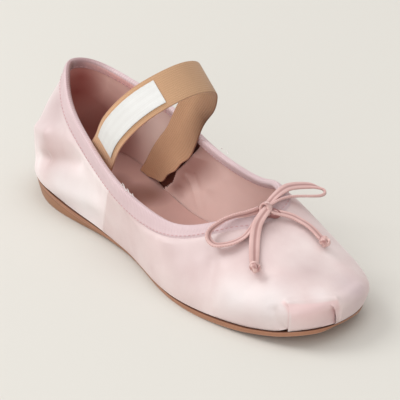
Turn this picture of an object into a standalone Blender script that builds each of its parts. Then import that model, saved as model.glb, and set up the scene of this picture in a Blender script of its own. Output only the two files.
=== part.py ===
# Ballet flat for the right foot: a satin upper on a thin leather sole, with a folded binding round the
# collar, an elastic strap over the instep and the bow of the collar's drawstring at the throat.
#
# Lengths are in millimetres along the last: x runs from the back of the heel to the toe, y to the inner
# (medial) side of the foot and z up from the floor.  Meshes are written in metres, with LAST_ORIGIN
# brought over the world's origin.

import math

import bpy
import bmesh
import numpy as np

MM = 0.001

# Driving sizes
LENGTH = 238.0             # feather line, where upper and sole meet, from heel to toe
BALL_WIDTH = 78.0          # feather line across the joints of the toes
HEEL_HEIGHT = 11.8         # feather line above the floor at the back of the heel
INSTEP_HEIGHT = 42.0       # throat of the collar above the floor
BACK_HEIGHT = 67.5         # collar above the floor at the back of the heel
LAST_ORIGIN = (117.8, 0.5, 0.0)

# Walls and clearances
GAP = 0.3                  # between pieces that touch
WALL = 1.6                 # upper with its lining
TAPE = 0.8                 # binding ribbon
BINDING_OUTSIDE = 8.8      # depth of the binding on the outer side
BINDING_INSIDE = 7.0       # and on the lining side
TUCK = 0.6                 # how far the upper is drawn in under its binding
TUCK_END = 10.2            # where the upper is back at its full form, below the collar's edge
CROWN = 1.1                # upper's own edge below the binding's fold
FOLD_ROUND = 0.4           # softening of the binding's fold
WALL_STAND = 2.5           # how far an upright wall bulges below the collar
SOLE_MARGIN = 1.0          # outsole beyond the feather line
WAIST_TUCK = 1.0           # and inside it at the waist
WAIST_PLACE = 0.47         # middle of the waist and its spread, as parts of LENGTH
WAIST_SPAN = 0.14
SOLE_BEVEL = 0.8           # taper of the outsole from its top to its tread
HEEL_STEP = 0.9            # heel's top inside the outsole's edge
HEEL_INSET = 1.6           # taper of the heel from its top to the floor
INSOLE_THICKNESS = 1.5
INSOLE_CLEARANCE = 0.6     # insole's edge to the lining

# Strap
STRAP_WIDTH = 19.0
STRAP_THICKNESS = 1.2
STRAP_LEAN = math.radians(34.7)    # from upright towards the toe
STRAP_FOOT = (41.3, 12.7)          # x and z of the back edge where the arch starts
LABEL_LENGTH = 50.0
LABEL_WIDTH = 14.0
LABEL_THICKNESS = 0.4
LABEL_START = 56.0                 # along the arch, from its outer foot

# Drawstring
CORD = 2.6                         # diameter
CORD_STEP = 4.5                    # between the points of a tube
KNOT_CENTRE = (176.3, 4.2, 45.5)
KNOT_SIZE = (6.6, 6.6, 5.4)
END_KNOT_SIZE = (6.0, 5.0, 4.4)

# Resolution
ROUND = 100                # columns round the upper
FINE_ROUND = 240           # points round the sole's outline
ROUGH_ROWS = 61            # samples up a section before it is measured off
RING_POWER = 0.75          # evens out the columns between near and far stations
ROUTE_SAMPLES = 24         # samples between two points of a route before it is measured off
STRAP_SECTIONS = 44
LABEL_SECTIONS = 13
SOLE_SECTIONS = 34
SOLE_COLUMNS_ACROSS = 5

# One row for each station round the last, from the heel along the outer side to the toe and back along
# the inner side.  `along` and `top_along` are per cent of LENGTH, `side` and `top_side` per cent of
# BALL_WIDTH.  `top_rise` is the collar's height as per cent of the way from INSTEP_HEIGHT up to
# BACK_HEIGHT.  The rest shapes the wall in millimetres: it leaves the feather line towards a shoulder
# that stands `flare` out and `rise` up, `square` sharpens that shoulder, `lean` (per cent) is how far
# the wall below the collar reaches back out to the feather line, and `drop` how far below the collar.
STATION_COLUMNS = ("name", "along", "side", "flare", "rise", "square", "lean", "drop",
                   "top_along", "top_side", "top_rise")
STATIONS = (
    ("heel back",          0.0,   0.0, 8.5, 21.0, 1.0,  0.0, 14.5,  4.5,   1.0, 100),
    ("heel corner, outer", 3.0, -23.5, 8.5, 22.0, 1.0,  0.0, 13.5,  7.5, -11.0,  95),
    ("heel side, outer",  12.0, -37.0, 5.5, 19.5, 1.0,  0.0, 12.0, 15.5, -25.0,  67),
    ("quarter, outer",    27.0, -37.0, 4.0, 15.5, 1.0,  0.0, 12.0, 27.5, -35.0,  29),
    ("waist, outer",      42.0, -37.0, 3.0, 13.0, 1.0,  0.0, 11.0, 40.0, -41.0,  -3),
    ("joint, outer",      57.0, -46.5, 3.0, 12.0, 1.0,  5.0,  9.0, 52.0, -41.0, -24),
    ("ball, outer",       70.0, -50.0, 2.0, 12.0, 1.0, 25.0,  7.0, 60.0, -35.0, -32),
    ("forepart, outer",   83.0, -43.5, 1.9, 11.2, 1.8, 35.0,  8.5, 66.0, -25.0, -19),
    ("toe side, outer",   93.0, -32.0, 1.8, 10.7, 4.2, 40.0, 10.3, 70.0, -13.0,  -4),
    ("toe corner, outer", 98.5, -17.0, 2.1, 12.2, 6.0, 44.0, 12.3, 72.0,  -5.0,   0),
    ("toe corner, inner", 98.5,  14.5, 3.7, 11.7, 6.0, 45.0, 12.3, 72.0,   8.5,   7),
    ("toe side, inner",   93.0,  37.0, 5.7, 10.0, 5.0, 46.0,  9.5, 71.0,  20.5,  20),
    ("forepart, inner",   83.0,  49.0, 5.0, 11.0, 1.8, 40.0,  7.5, 66.5,  29.0,  26),
    ("ball, inner",       70.0,  50.5, 3.0, 12.5, 1.0, 27.0,  6.5, 60.5,  32.5,  10),
    ("joint, inner",      57.0,  42.0, 3.0, 12.0, 1.0,  5.0,  8.5, 52.0,  33.0,   6),
    ("waist, inner",      42.0,  30.0, 3.5, 13.0, 1.0,  0.0, 11.0, 40.5,  33.0,  18),
    ("quarter, inner",    27.0,  30.5, 4.0, 15.0, 1.0,  0.0, 12.0, 27.5,  33.5,  45),
    ("heel side, inner",  12.0,  33.5, 5.0, 18.0, 1.0,  0.0, 13.0, 15.0,  26.0,  72),
    ("heel corner, inner", 3.0,  22.0, 7.5, 20.5, 1.0,  0.0, 14.5,  6.5,  15.0,  92),
)

# Side view of the sole: `along` in per cent of LENGTH, heights in per cent of HEEL_HEIGHT.  `tread` is
# the underside, level with the floor under the ball of the foot.
SOLE_COLUMNS = ("along", "top", "tread")
SOLE_PROFILE = (
    (-1.0, 100, 74),
    (12.5,  86, 60),
    (27.5,  50, 26),
    (42.0,  25, 2),
    (50.0,  25, 0),
    (57.0,  27, 0),
    (72.0,  34, 0),
    (83.0,  42, 6),
    (93.0,  57, 29),
    (101.0, 80, 57),
)
HEEL_FRONT = 90.0          # x where the heel's wedge ends

# Rows down the upper: distances below the collar's edge under the binding, then parts of the wall left
# below it.
UNDER_BINDING = (CROWN, 5.0, BINDING_OUTSIDE + 0.2)
BELOW_BINDING = (0.2, 0.4, 0.58, 0.74, 0.88, 1.0)

# The strap's arch seen along its own lean: y across the foot and the way up from STRAP_FOOT.
STRAP_ARCH = ((-22.6, -6.0), (-22.4, 18.0), (-23.0, 43.0), (-25.3, 67.0), (-16.0, 87.0), (5.0, 98.5),
              (20.5, 93.5), (23.3, 75.0), (22.2, 55.0), (21.6, 36.0), (21.4, 15.0), (21.2, -8.0))

# Routes of the drawstring in the bow, each from the knot outwards
OUTER_LOOP = ((173.6, -0.3, 44.5), (171.8, -5.3, 44.1), (170.2, -9.5, 43.7), (168.8, -13.2, 42.8),
              (167.7, -16.5, 41.5), (166.8, -22.2, 38.5), (168.5, -25.1, 36.3), (171.1, -25.8, 34.8),
              (174.5, -24.6, 34.1), (179.1, -19.9, 35.6), (181.0, -13.7, 37.7), (180.3, -8.6, 40.2),
              (178.8, -5.2, 41.6))
INNER_LOOP = ((174.2, 7.6, 47.4), (172.2, 12.1, 49.4), (170.3, 19.4, 50.6), (169.5, 26.0, 50.2),
              (170.3, 34.1, 48.6), (173.3, 37.8, 47.4), (176.4, 39.0, 46.6), (177.6, 36.9, 46.1),
              (177.1, 34.0, 46.2), (175.5, 30.0, 46.5), (173.4, 23.4, 47.5), (173.2, 17.5, 48.1),
              (173.8, 12.5, 47.9), (175.5, 8.3, 46.8))
OUTER_TAIL = ((178.6, 0.9, 45.0), (180.3, -3.2, 43.8), (183.8, -7.7, 40.4), (188.5, -11.8, 37.0),
              (193.3, -15.4, 34.1), (196.8, -17.9, 31.9))
INNER_TAIL = ((179.6, 6.6, 44.6), (181.6, 10.4, 44.0), (184.4, 13.5, 42.8), (187.8, 16.0, 41.2),
              (191.8, 18.0, 39.5), (195.6, 18.9, 37.8), (199.4, 19.2, 36.1))
OUTER_END = (199.5, -19.7, 30.9)
INNER_END = (202.6, 19.2, 34.9)


# ---- curves ----

def closed_spline(knots, rows, at):
    """Values at `at` on the smooth closed curve through rows, where rows[i] lies at knots[i]."""
    count = len(rows)
    step = np.diff(knots)
    rise = (np.roll(rows, -1, axis=0) - rows) / step[:, None]
    system = np.zeros((count, count))
    for i in range(count):
        system[i, i - 1] = step[i - 1]
        system[i, i] = 2.0 * (step[i - 1] + step[i])
        system[i, (i + 1) % count] = step[i]
    bend = np.linalg.solve(system, 6.0 * (rise - np.roll(rise, 1, axis=0)))
    cell = np.clip(np.searchsorted(knots, at, side="right") - 1, 0, count - 1)
    after = (cell + 1) % count
    width = step[cell][:, None]
    far = (at - knots[cell])[:, None] / width
    near = 1.0 - far
    curve = (near ** 3 - near) * bend[cell] + (far ** 3 - far) * bend[after]
    return near * rows[cell] + far * rows[after] + curve * width ** 2 / 6.0


def graded(columns, x):
    """Height at x on a curve through a table of two columns that never overshoots its rows."""
    places, heights = columns
    step = np.diff(places)
    slope = np.diff(heights) / step
    tangent = np.zeros(len(places))
    for i in range(1, len(slope)):
        if slope[i - 1] * slope[i] > 0:
            tangent[i] = 2.0 * slope[i - 1] * slope[i] / (slope[i - 1] + slope[i])
    cell = np.clip(np.searchsorted(places, x) - 1, 0, len(step) - 1)
    t = (x - places[cell]) / step[cell]
    start = heights[cell] * (1 + 2 * t) * (1 - t) ** 2 + tangent[cell] * step[cell] * t * (1 - t) ** 2
    end = heights[cell + 1] * t * t * (3 - 2 * t) - tangent[cell + 1] * step[cell] * t * t * (1 - t)
    return start + end


def smooth_path(points, spacing):
    """Evenly spaced points, about `spacing` apart, on a smooth open curve through a hand-made route."""
    points = np.array(points, float)
    ends = np.vstack([2 * points[0] - points[1], points, 2 * points[-1] - points[-2]])
    dense = []
    for i in range(1, len(ends) - 2):
        before, start, end, after = ends[i - 1:i + 3]
        for t in np.linspace(0.0, 1.0, ROUTE_SAMPLES, endpoint=False):
            dense.append(0.5 * (2 * start + (end - before) * t
                                + (2 * before - 5 * start + 4 * end - after) * t ** 2
                                + (3 * start - before - 3 * end + after) * t ** 3))
    dense = np.array(dense + [ends[-2]])
    run = np.concatenate([[0.0], np.cumsum(np.linalg.norm(np.diff(dense, axis=0), axis=1))])
    count = max(2, round(run[-1] / spacing))
    even = np.linspace(0.0, run[-1], count + 1)
    return np.stack([np.interp(even, run, dense[:, axis]) for axis in range(dense.shape[1])], axis=1)


def unit(vectors):
    return vectors / np.linalg.norm(vectors, axis=-1, keepdims=True)


# ---- the last ----

def station_values():
    """The station table in millimetres, as named columns."""
    columns = dict(zip(STATION_COLUMNS[1:], np.array([row[1:] for row in STATIONS], float).T))
    for name in ("along", "top_along"):
        columns[name] = columns[name] * LENGTH / 100
    for name in ("side", "top_side"):
        columns[name] = columns[name] * BALL_WIDTH / 100
    columns["lean"] = columns["lean"] / 100
    columns["top_rise"] = INSTEP_HEIGHT + columns["top_rise"] * (BACK_HEIGHT - INSTEP_HEIGHT) / 100
    return columns


def sole_height(name, x):
    profile = dict(zip(SOLE_COLUMNS, np.array(SOLE_PROFILE, float).T))
    return graded((profile["along"] * LENGTH / 100, profile[name] * HEEL_HEIGHT / 100), x)


def last_rings(count):
    """`count` stations round the last: feather points, outward directions and the wall's controls."""
    columns = station_values()
    names = list(columns)
    rows = np.stack([columns[name] for name in names], axis=1)
    feather = np.stack([columns["along"], columns["side"]], axis=1)
    spans = np.linalg.norm(np.roll(feather, -1, axis=0) - feather, axis=1)
    knots = np.concatenate([[0.0], np.cumsum(spans ** RING_POWER)])
    at = np.linspace(0.0, knots[-1], count, endpoint=False)
    ring = dict(zip(names, closed_spline(knots, rows, at).T))
    feather = np.stack([ring["along"], ring["side"]], axis=1)
    tangent = unit(np.roll(feather, -1, axis=0) - np.roll(feather, 1, axis=0))
    outward = np.stack([tangent[:, 1], -tangent[:, 0]], axis=1)
    return feather, outward, ring


def upper_sheet():
    """Outer surface of the upper as rows of points from the collar's edge down to the feather line,
    with their outward normals and their distance below the edge."""
    feather, outward, ring = last_rings(ROUND)
    foot = np.column_stack([feather, sole_height("top", feather[:, 0]) + GAP])
    top = np.stack([ring["top_along"], ring["top_side"], ring["top_rise"]], axis=1)
    shoulder = foot + np.column_stack([outward * ring["flare"][:, None], ring["rise"]])
    below = top.copy()
    spread = WALL_STAND * np.clip(1.0 - 2.0 * ring["lean"], 0.0, 1.0)
    below[:, :2] += (foot - top)[:, :2] * ring["lean"][:, None] + outward * spread[:, None]
    below[:, 2] -= ring["drop"]
    v = np.linspace(1.0, 0.0, ROUGH_ROWS)[:, None, None]
    weights = ((1 - v) ** 3, 3 * ring["square"][None, :, None] * v * (1 - v) ** 2,
               3 * v ** 2 * (1 - v), v ** 3)
    controls = (foot, shoulder, below, top)
    sheet = sum(w * c for w, c in zip(weights, controls)) / sum(weights)
    around = np.roll(sheet, -1, axis=1) - np.roll(sheet, 1, axis=1)
    down = np.gradient(sheet, axis=0)
    normals = unit(np.cross(down, around))
    steps = np.linalg.norm(np.diff(sheet, axis=0), axis=2)
    depth = np.vstack([np.zeros(ROUND), np.cumsum(steps, axis=0)])
    return sheet, normals, depth


def row_at(sheet_data, distances):
    """Points and normals on the upper at one distance below the collar's edge for each column."""
    sheet, normals, depth = sheet_data
    points = np.zeros((ROUND, 3))
    sides = np.zeros((ROUND, 3))
    for column in range(ROUND):
        for axis in range(3):
            points[column, axis] = np.interp(distances[column], depth[:, column], sheet[:, column, axis])
            sides[column, axis] = np.interp(distances[column], depth[:, column], normals[:, column, axis])
    return points, unit(sides)


# ---- solids ----

def add_object(name, points, faces, material):
    """A mesh object from points in millimetres on the last."""
    mesh = bpy.data.meshes.new(name)
    place = (np.array(points, float) - np.array(LAST_ORIGIN)) * MM
    mesh.from_pydata([tuple(p) for p in place], [], faces)
    work = bmesh.new()
    work.from_mesh(mesh)
    bmesh.ops.recalc_face_normals(work, faces=work.faces)
    bmesh.ops.triangulate(work, faces=work.faces)
    work.to_mesh(mesh)
    work.free()
    mesh.shade_smooth()
    mesh.set_sharp_from_angle(angle=math.radians(35))
    mesh.materials.append(material)
    piece = bpy.data.objects.new(name, mesh)
    shoe.objects.link(piece)
    return piece


def tyre(name, rings, material):
    """A closed solid from rings of equal length that follow each other round its section."""
    count = len(rings[0])
    faces = []
    for j in range(len(rings)):
        k = (j + 1) % len(rings)
        for i in range(count):
            n = (i + 1) % count
            faces.append((j * count + i, j * count + n, k * count + n, k * count + i))
    return add_object(name, np.vstack(rings), faces, material)


def bar(name, sections, material):
    """A closed solid from sections of equal length that follow each other along it, with flat ends."""
    count = len(sections[0])
    last = (len(sections) - 1) * count
    faces = [tuple(range(count))[::-1], tuple(range(last, last + count))]
    for j in range(len(sections) - 1):
        for i in range(count):
            n = (i + 1) % count
            faces.append((j * count + i, j * count + n, (j + 1) * count + n, (j + 1) * count + i))
    return add_object(name, np.vstack(sections), faces, material)


def half_widths(outline, x):
    """Outer and inner y of a closed outline at the places x."""
    start, end = outline[:, 0].argmin(), outline[:, 0].argmax()
    turned = np.roll(outline, -start, axis=0)
    split = (end - start) % len(outline)
    outer, inner = turned[:split + 1], np.vstack([turned[split:], turned[:1]])[::-1]
    return np.interp(x, outer[:, 0], outer[:, 1]), np.interp(x, inner[:, 0], inner[:, 1])


def plate(name, outline, top, bottom, material, taper=0.0, front=None, flats=()):
    """A thin solid on an outline, between two heights that depend on x.  `taper` draws its underside
    in, `front` cuts it off straight there and `flats` are places that need a station of their own."""
    low, high = outline[:, 0].min(), outline[:, 0].max()
    turn = np.linspace(0.0, math.pi, SOLE_SECTIONS)
    x = low + (high - low) * (1 - np.cos(turn)) / 2
    if front is not None:
        x = np.append(x[x < front - HEEL_INSET], front)
    x = np.unique(np.concatenate([x, flats]))
    outer, inner = half_widths(outline, x)
    middle = (low + high) / 2
    under_x = middle + (x - middle) * (1 - 2 * taper / (high - low))
    points, sides, rows = [], [], []
    for i in range(len(x)):
        pinched = inner[i] - outer[i] < 1e-6
        share = [0.5] if pinched else np.linspace(0.0, 1.0, SOLE_COLUMNS_ACROSS)
        width = max(0.0, inner[i] - outer[i] - 2 * taper)
        row = []
        for s in share:
            row.append(len(points))
            points.append((x[i], outer[i] + (inner[i] - outer[i]) * s, top(x[i])))
        under = []
        centre = (outer[i] + inner[i]) / 2
        for s in share:
            under.append(len(points))
            points.append((under_x[i], centre + width * (s - 0.5), bottom(x[i])))
        rows.append((row, under))
    faces = []
    for (row, under), (next_row, next_under) in zip(rows, rows[1:]):
        for line, following, flip in ((row, next_row, False), (under, next_under, True)):
            faces += strip(line, following, flip)
        for end in (0, -1):
            faces.append((row[end], next_row[end], next_under[end], under[end]))
    if front is not None:
        faces += strip(*rows[-1], False)
    return add_object(name, points, faces, material)


def strip(line, following, flip):
    """Faces between two lines of points, where either may be a single point."""
    if len(line) == 1:
        faces = [(line[0], b, a) for a, b in zip(following, following[1:])]
    elif len(following) == 1:
        faces = [(a, b, following[0]) for a, b in zip(line, line[1:])]
    else:
        faces = [(a, b, c, d) for a, b, c, d in zip(line, line[1:], following[1:], following)]
    return [face[::-1] for face in faces] if flip else faces


def paint(name, colour, roughness):
    material = bpy.data.materials.new(name)
    material.use_nodes = True
    shader = material.node_tree.nodes["Principled BSDF"]
    shader.inputs["Base Color"].default_value = (*colour, 1.0)
    shader.inputs["Roughness"].default_value = roughness
    shader.inputs["Metallic"].default_value = 0.0
    material.diffuse_color = (*colour, 1.0)
    return material


# ---- sub-parts ----

def make_upper(sheet_data):
    """One hollow shell, open at the collar and underneath, drawn in a little under its binding."""
    depth = sheet_data[2][-1]
    drawn_in = [np.full(ROUND, distance) for distance in UNDER_BINDING]
    full = [TUCK_END + (depth - TUCK_END) * share for share in (0.0, *BELOW_BINDING)]
    outer, inner = [], []
    for place, distances in enumerate(drawn_in + full):
        points, normals = row_at(sheet_data, distances)
        if place < len(drawn_in):
            points = points - normals * TUCK
        outer.append(points)
        inner.append(points - normals * WALL)
    feather, outward, _ = last_rings(ROUND)
    inside = feather - outward * WALL
    inner[-1] = np.column_stack([inside, sole_height("top", inside[:, 0]) + GAP])
    return tyre("upper", outer + inner[::-1], paint("satin", (0.84, 0.70, 0.68), 0.42))


def make_binding(sheet_data):
    """A ribbon folded over the upper's edge; its section is given as offset and depth."""
    outside = GAP + TAPE - TUCK
    contact = GAP - TUCK
    lining = -TUCK - WALL - GAP
    inside = lining - TAPE
    fold = CROWN - GAP
    half_out, half_in = 0.57 * BINDING_OUTSIDE, 0.61 * BINDING_INSIDE
    section = (
        (outside, BINDING_OUTSIDE), (outside, half_out), (outside, 4 * FOLD_ROUND),
        (outside - FOLD_ROUND, FOLD_ROUND), (contact - FOLD_ROUND, 0.0),
        (lining + FOLD_ROUND, 0.0), (inside + FOLD_ROUND, FOLD_ROUND), (inside, 4 * FOLD_ROUND),
        (inside, half_in), (inside, BINDING_INSIDE), (lining, BINDING_INSIDE), (lining, half_in),
        (lining, fold), (contact, fold), (contact, half_out), (contact, BINDING_OUTSIDE),
    )
    rings = []
    for offset, depth in section:
        points, normals = row_at(sheet_data, np.full(ROUND, depth))
        rings.append(points + normals * offset)
    return tyre("collar_binding", rings, paint("binding", (0.80, 0.66, 0.68), 0.62))


def make_sole():
    """Outsole, the tapered heel under it and the insole on it."""
    feather, outward, _ = last_rings(FINE_ROUND)
    waist = np.exp(-((feather[:, 0] / LENGTH - WAIST_PLACE) / WAIST_SPAN) ** 2)
    margin = SOLE_MARGIN - (SOLE_MARGIN + WAIST_TUCK) * waist
    edge = feather + outward * margin[:, None]
    tread_flat = (0.50 * LENGTH, 0.61 * LENGTH, 0.72 * LENGTH)

    def sole_top(x):
        return float(sole_height("top", np.array([x]))[0])

    def sole_tread(x):
        return float(sole_height("tread", np.array([x]))[0])

    leather = paint("sole leather", (0.46, 0.26, 0.16), 0.55)
    plate("outsole", edge, sole_top, sole_tread, leather, taper=SOLE_BEVEL, flats=tread_flat)
    plate("heel_lift", edge - outward * HEEL_STEP, lambda x: sole_tread(x) - GAP, lambda x: 0.0,
          paint("heel leather", (0.52, 0.30, 0.19), 0.5), taper=HEEL_INSET, front=HEEL_FRONT)
    sock = feather - outward * (WALL + INSOLE_CLEARANCE)
    plate("insole", sock, lambda x: sole_top(x) + GAP + INSOLE_THICKNESS, lambda x: sole_top(x) + GAP,
          paint("sock lining", (0.66, 0.43, 0.38), 0.6))


def strap_frame():
    """Arch of the strap's back edge in space, the way across it and the outward side, evenly spaced."""
    arch = smooth_path(STRAP_ARCH, 2.0)
    lean_up = np.array([math.sin(STRAP_LEAN), 0.0, math.cos(STRAP_LEAN)])
    across = np.array([math.cos(STRAP_LEAN), 0.0, -math.sin(STRAP_LEAN)])
    base = np.array([STRAP_FOOT[0], 0.0, STRAP_FOOT[1]])
    path = base + arch[:, :1] * np.array([0.0, 1.0, 0.0]) + arch[:, 1:] * lean_up
    outward = unit(np.cross(np.gradient(path, axis=0), across))
    if outward[len(outward) // 2, 2] < 0:
        outward = -outward
    return path, across, outward


def seated(path, outward):
    """The part of a strap edge that stands above the insole, as evenly spaced points."""
    seat = sole_height("top", path[:, 0]) + 2 * GAP + INSOLE_THICKNESS
    inside = np.nonzero(path[:, 2] > seat)[0]
    path, outward, seat = (a[inside[0] - 1:inside[-1] + 2] for a in (path, outward, seat))
    for end, neighbour in ((0, 1), (-1, -2)):
        share = (seat[end] - path[end, 2]) / (path[neighbour, 2] - path[end, 2])
        path[end] = path[end] + (path[neighbour] - path[end]) * share
    run = np.concatenate([[0.0], np.cumsum(np.linalg.norm(np.diff(path, axis=0), axis=1))])
    even = np.linspace(0.0, run[-1], STRAP_SECTIONS)
    return tuple(np.stack([np.interp(even, run, a[:, axis]) for axis in range(3)], axis=1)
                 for a in (path, outward))


def make_strap():
    """Elastic band that stands on the insole inside both walls and arches over the instep."""
    path, across, outward = strap_frame()
    back, back_out = seated(path.copy(), outward)
    front, front_out = seated(path + across * STRAP_WIDTH, outward)
    half = STRAP_THICKNESS / 2
    sections = []
    for b, b_out, f, f_out in zip(back, back_out, front, front_out):
        sections.append((b + b_out * half, f + f_out * half, f - f_out * half, b - b_out * half))
    bar("elastic_strap", [np.array(s) for s in sections], paint("elastic", (0.53, 0.35, 0.22), 0.8))

    run = np.concatenate([[0.0], np.cumsum(np.linalg.norm(np.diff(path, axis=0), axis=1))])
    places = np.linspace(LABEL_START, LABEL_START + LABEL_LENGTH, LABEL_SECTIONS)
    middle = np.stack([np.interp(places, run, path[:, axis]) for axis in range(3)], axis=1)
    middle = middle + across * (STRAP_WIDTH / 2)
    face = unit(np.stack([np.interp(places, run, outward[:, axis]) for axis in range(3)], axis=1))
    low = half + GAP
    high = low + LABEL_THICKNESS
    reach = across * LABEL_WIDTH / 2
    sections = [np.array((m - reach + n * high, m + reach + n * high, m + reach + n * low,
                          m - reach + n * low)) for m, n in zip(middle, face)]
    bar("strap_label", sections, paint("label", (0.80, 0.76, 0.70), 0.75))


def make_cord(name, route, material):
    """A tube along a route, straight-ended, as a curve with a round bevel."""
    points = (smooth_path(route, CORD_STEP) - np.array(LAST_ORIGIN)) * MM
    curve = bpy.data.curves.new(name, "CURVE")
    curve.dimensions = "3D"
    curve.bevel_depth = CORD / 2 * MM
    curve.bevel_resolution = 2
    curve.use_fill_caps = True
    line = curve.splines.new("POLY")
    line.points.add(len(points) - 1)
    for point, place in zip(line.points, points):
        point.co = (*place, 1.0)
    curve.materials.append(material)
    shoe.objects.link(bpy.data.objects.new(name, curve))


def make_knot(name, centre, size, material):
    """A plain ellipsoid that holds the place of a pulled-tight knot."""
    work = bmesh.new()
    bmesh.ops.create_uvsphere(work, u_segments=12, v_segments=8, radius=0.5)
    bmesh.ops.scale(work, vec=[s * MM for s in size], verts=work.verts)
    bmesh.ops.translate(work, vec=[(c - o) * MM for c, o in zip(centre, LAST_ORIGIN)], verts=work.verts)
    mesh = bpy.data.meshes.new(name)
    work.to_mesh(mesh)
    work.free()
    mesh.shade_smooth()
    mesh.materials.append(material)
    shoe.objects.link(bpy.data.objects.new(name, mesh))


def make_bow():
    string = paint("drawstring", (0.64, 0.40, 0.37), 0.5)
    make_knot("bow_knot", KNOT_CENTRE, KNOT_SIZE, string)
    make_cord("bow_loop_lateral", OUTER_LOOP, string)
    make_cord("bow_loop_medial", INNER_LOOP, string)
    make_cord("bow_tail_lateral", OUTER_TAIL, string)
    make_cord("bow_tail_medial", INNER_TAIL, string)
    make_knot("bow_end_lateral", OUTER_END, END_KNOT_SIZE, string)
    make_knot("bow_end_medial", INNER_END, END_KNOT_SIZE, string)


for old in list(bpy.data.objects):
    bpy.data.objects.remove(old, do_unlink=True)
shoe = bpy.data.collections.new("ballet_flat")
bpy.context.scene.collection.children.link(shoe)

upper_surface = upper_sheet()
make_upper(upper_surface)
make_binding(upper_surface)
make_sole()
make_strap()
make_bow()
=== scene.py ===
# Dresses a ballet flat for the right foot: pleated satin upper, ribbed binding with its drawstring bow,
# slack elastic strap, soft lining and a thin leather sole on a low heel.
# Lengths are millimetres on the last: x from the back of the heel to the toe, y to the inner side of the
# foot, z up from the floor.  toWorld turns them into metres in the row frame.

import math

import bmesh
import bpy
import numpy as np
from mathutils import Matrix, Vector, noise


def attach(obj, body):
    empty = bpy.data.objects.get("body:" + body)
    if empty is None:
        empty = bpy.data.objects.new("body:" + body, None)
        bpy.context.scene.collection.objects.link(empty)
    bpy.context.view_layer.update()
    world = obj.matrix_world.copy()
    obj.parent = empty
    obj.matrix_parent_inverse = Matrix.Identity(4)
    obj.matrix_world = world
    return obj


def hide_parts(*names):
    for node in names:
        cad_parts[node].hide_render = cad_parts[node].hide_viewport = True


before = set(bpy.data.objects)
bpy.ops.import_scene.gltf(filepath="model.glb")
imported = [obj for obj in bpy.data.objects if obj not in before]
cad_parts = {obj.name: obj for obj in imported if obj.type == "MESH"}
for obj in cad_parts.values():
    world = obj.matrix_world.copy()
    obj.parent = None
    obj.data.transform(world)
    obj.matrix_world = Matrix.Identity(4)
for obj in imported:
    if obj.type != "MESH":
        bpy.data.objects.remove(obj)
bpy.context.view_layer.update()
lastOrigin = np.array([117.8, 0.5, 0.0])
print("frame loaded")


def toWorld(points):
    return (np.asarray(points, float) - lastOrigin) * 0.001


def toLast(point):
    return np.array(point) * 1000 + lastOrigin


def unit(vectors):
    return vectors / np.linalg.norm(vectors, axis=-1, keepdims=True)


def addObject(name, data):
    made = bpy.data.objects.new(name, data)
    bpy.context.scene.collection.objects.link(made)
    return made


# Camera and lights

view = {
    "azimuth": 55.165,       # degrees round the shoe, from its front to its outer side
    "elevation": 25.544,
    "distance": 2.237,       # to the pivot
    "pivot": (0.0022, -0.0005, 0.025),      # metres in the row frame
    "aim": (0.0025, 0.0032, 0.0289),
    "lens": 405.0,
}

turn, tilt = math.radians(view["azimuth"]), math.radians(view["elevation"])
towardsCamera = Vector((math.sin(turn) * math.cos(tilt), -math.cos(turn) * math.cos(tilt), math.sin(tilt)))
cameraPlace = Vector(view["pivot"]) + towardsCamera * view["distance"]
cameraData = bpy.data.cameras.new("camera")
cameraData.lens = view["lens"]
cameraData.clip_end = 50.0
camera = addObject("camera", cameraData)
camera.location = cameraPlace
camera.rotation_euler = (Vector(view["aim"]) - cameraPlace).to_track_quat("-Z", "Y").to_euler()
bpy.context.scene.camera = camera
bpy.context.scene.view_settings.view_transform = "Standard"

studio = {
    "floorColour": (0.65, 0.63, 0.585),
    "ambient": 0.66,
    "ambientColour": (1.0, 0.99, 0.975),
    # place, size and power of each soft light
    "window": ((-1.15, -0.75, 1.50), 1.1, 18.5),
    "overhead": ((-0.05, 0.25, 1.90), 1.6, 7.5),
    "front": ((1.25, -1.5, 0.8), 1.6, 14.5),
}


def areaLight(name, place, size, power):
    lamp = bpy.data.lights.new(name, "AREA")
    lamp.shape = "SQUARE"
    lamp.size = size
    lamp.energy = power
    holder = addObject(name, lamp)
    holder.location = place
    holder.rotation_euler = (-Vector(place)).to_track_quat("-Z", "Y").to_euler()    # toward the shoe


for lampName in ("window", "overhead", "front"):
    areaLight(lampName, *studio[lampName])
room = bpy.data.worlds.new("room")
room.use_nodes = True
room.node_tree.nodes["Background"].inputs["Color"].default_value = (*studio["ambientColour"], 1.0)
room.node_tree.nodes["Background"].inputs["Strength"].default_value = studio["ambient"]
bpy.context.scene.world = room
print("camera and lights set")

# Materials: each starts as a mottled colour and is given tints and bumps


def newGroup(name, inputs, outputs):
    group = bpy.data.node_groups.new(name, "ShaderNodeTree")
    for label, kind, value in inputs:
        socket = group.interface.new_socket(name=label, in_out="INPUT", socket_type=kind)
        if value is not None:
            socket.default_value = value
    for label, kind in outputs:
        group.interface.new_socket(name=label, in_out="OUTPUT", socket_type=kind)
    return group, group.nodes.new("NodeGroupInput"), group.nodes.new("NodeGroupOutput")


def feed(tree, socket, value):
    if isinstance(value, bpy.types.NodeSocket):
        tree.links.new(value, socket)
    else:
        socket.default_value = value


def mathNode(tree, operation, *values):
    node = tree.nodes.new("ShaderNodeMath")
    node.operation = operation
    for socket, value in zip(node.inputs, values):
        feed(tree, socket, value)
    return node.outputs[0]


def clamped(tree, value):
    return mathNode(tree, "MINIMUM", mathNode(tree, "MAXIMUM", value, 0.0), 1.0)


def ramp(tree, value, start, end):
    # 0 up to start and 1 from end on; the two may be in either order
    return clamped(tree, mathNode(tree, "DIVIDE", mathNode(tree, "SUBTRACT", value, start), end - start))


def product(tree, *masks):
    whole = masks[0]
    for mask in masks[1:]:
        whole = mathNode(tree, "MULTIPLY", whole, mask)
    return whole


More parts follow.
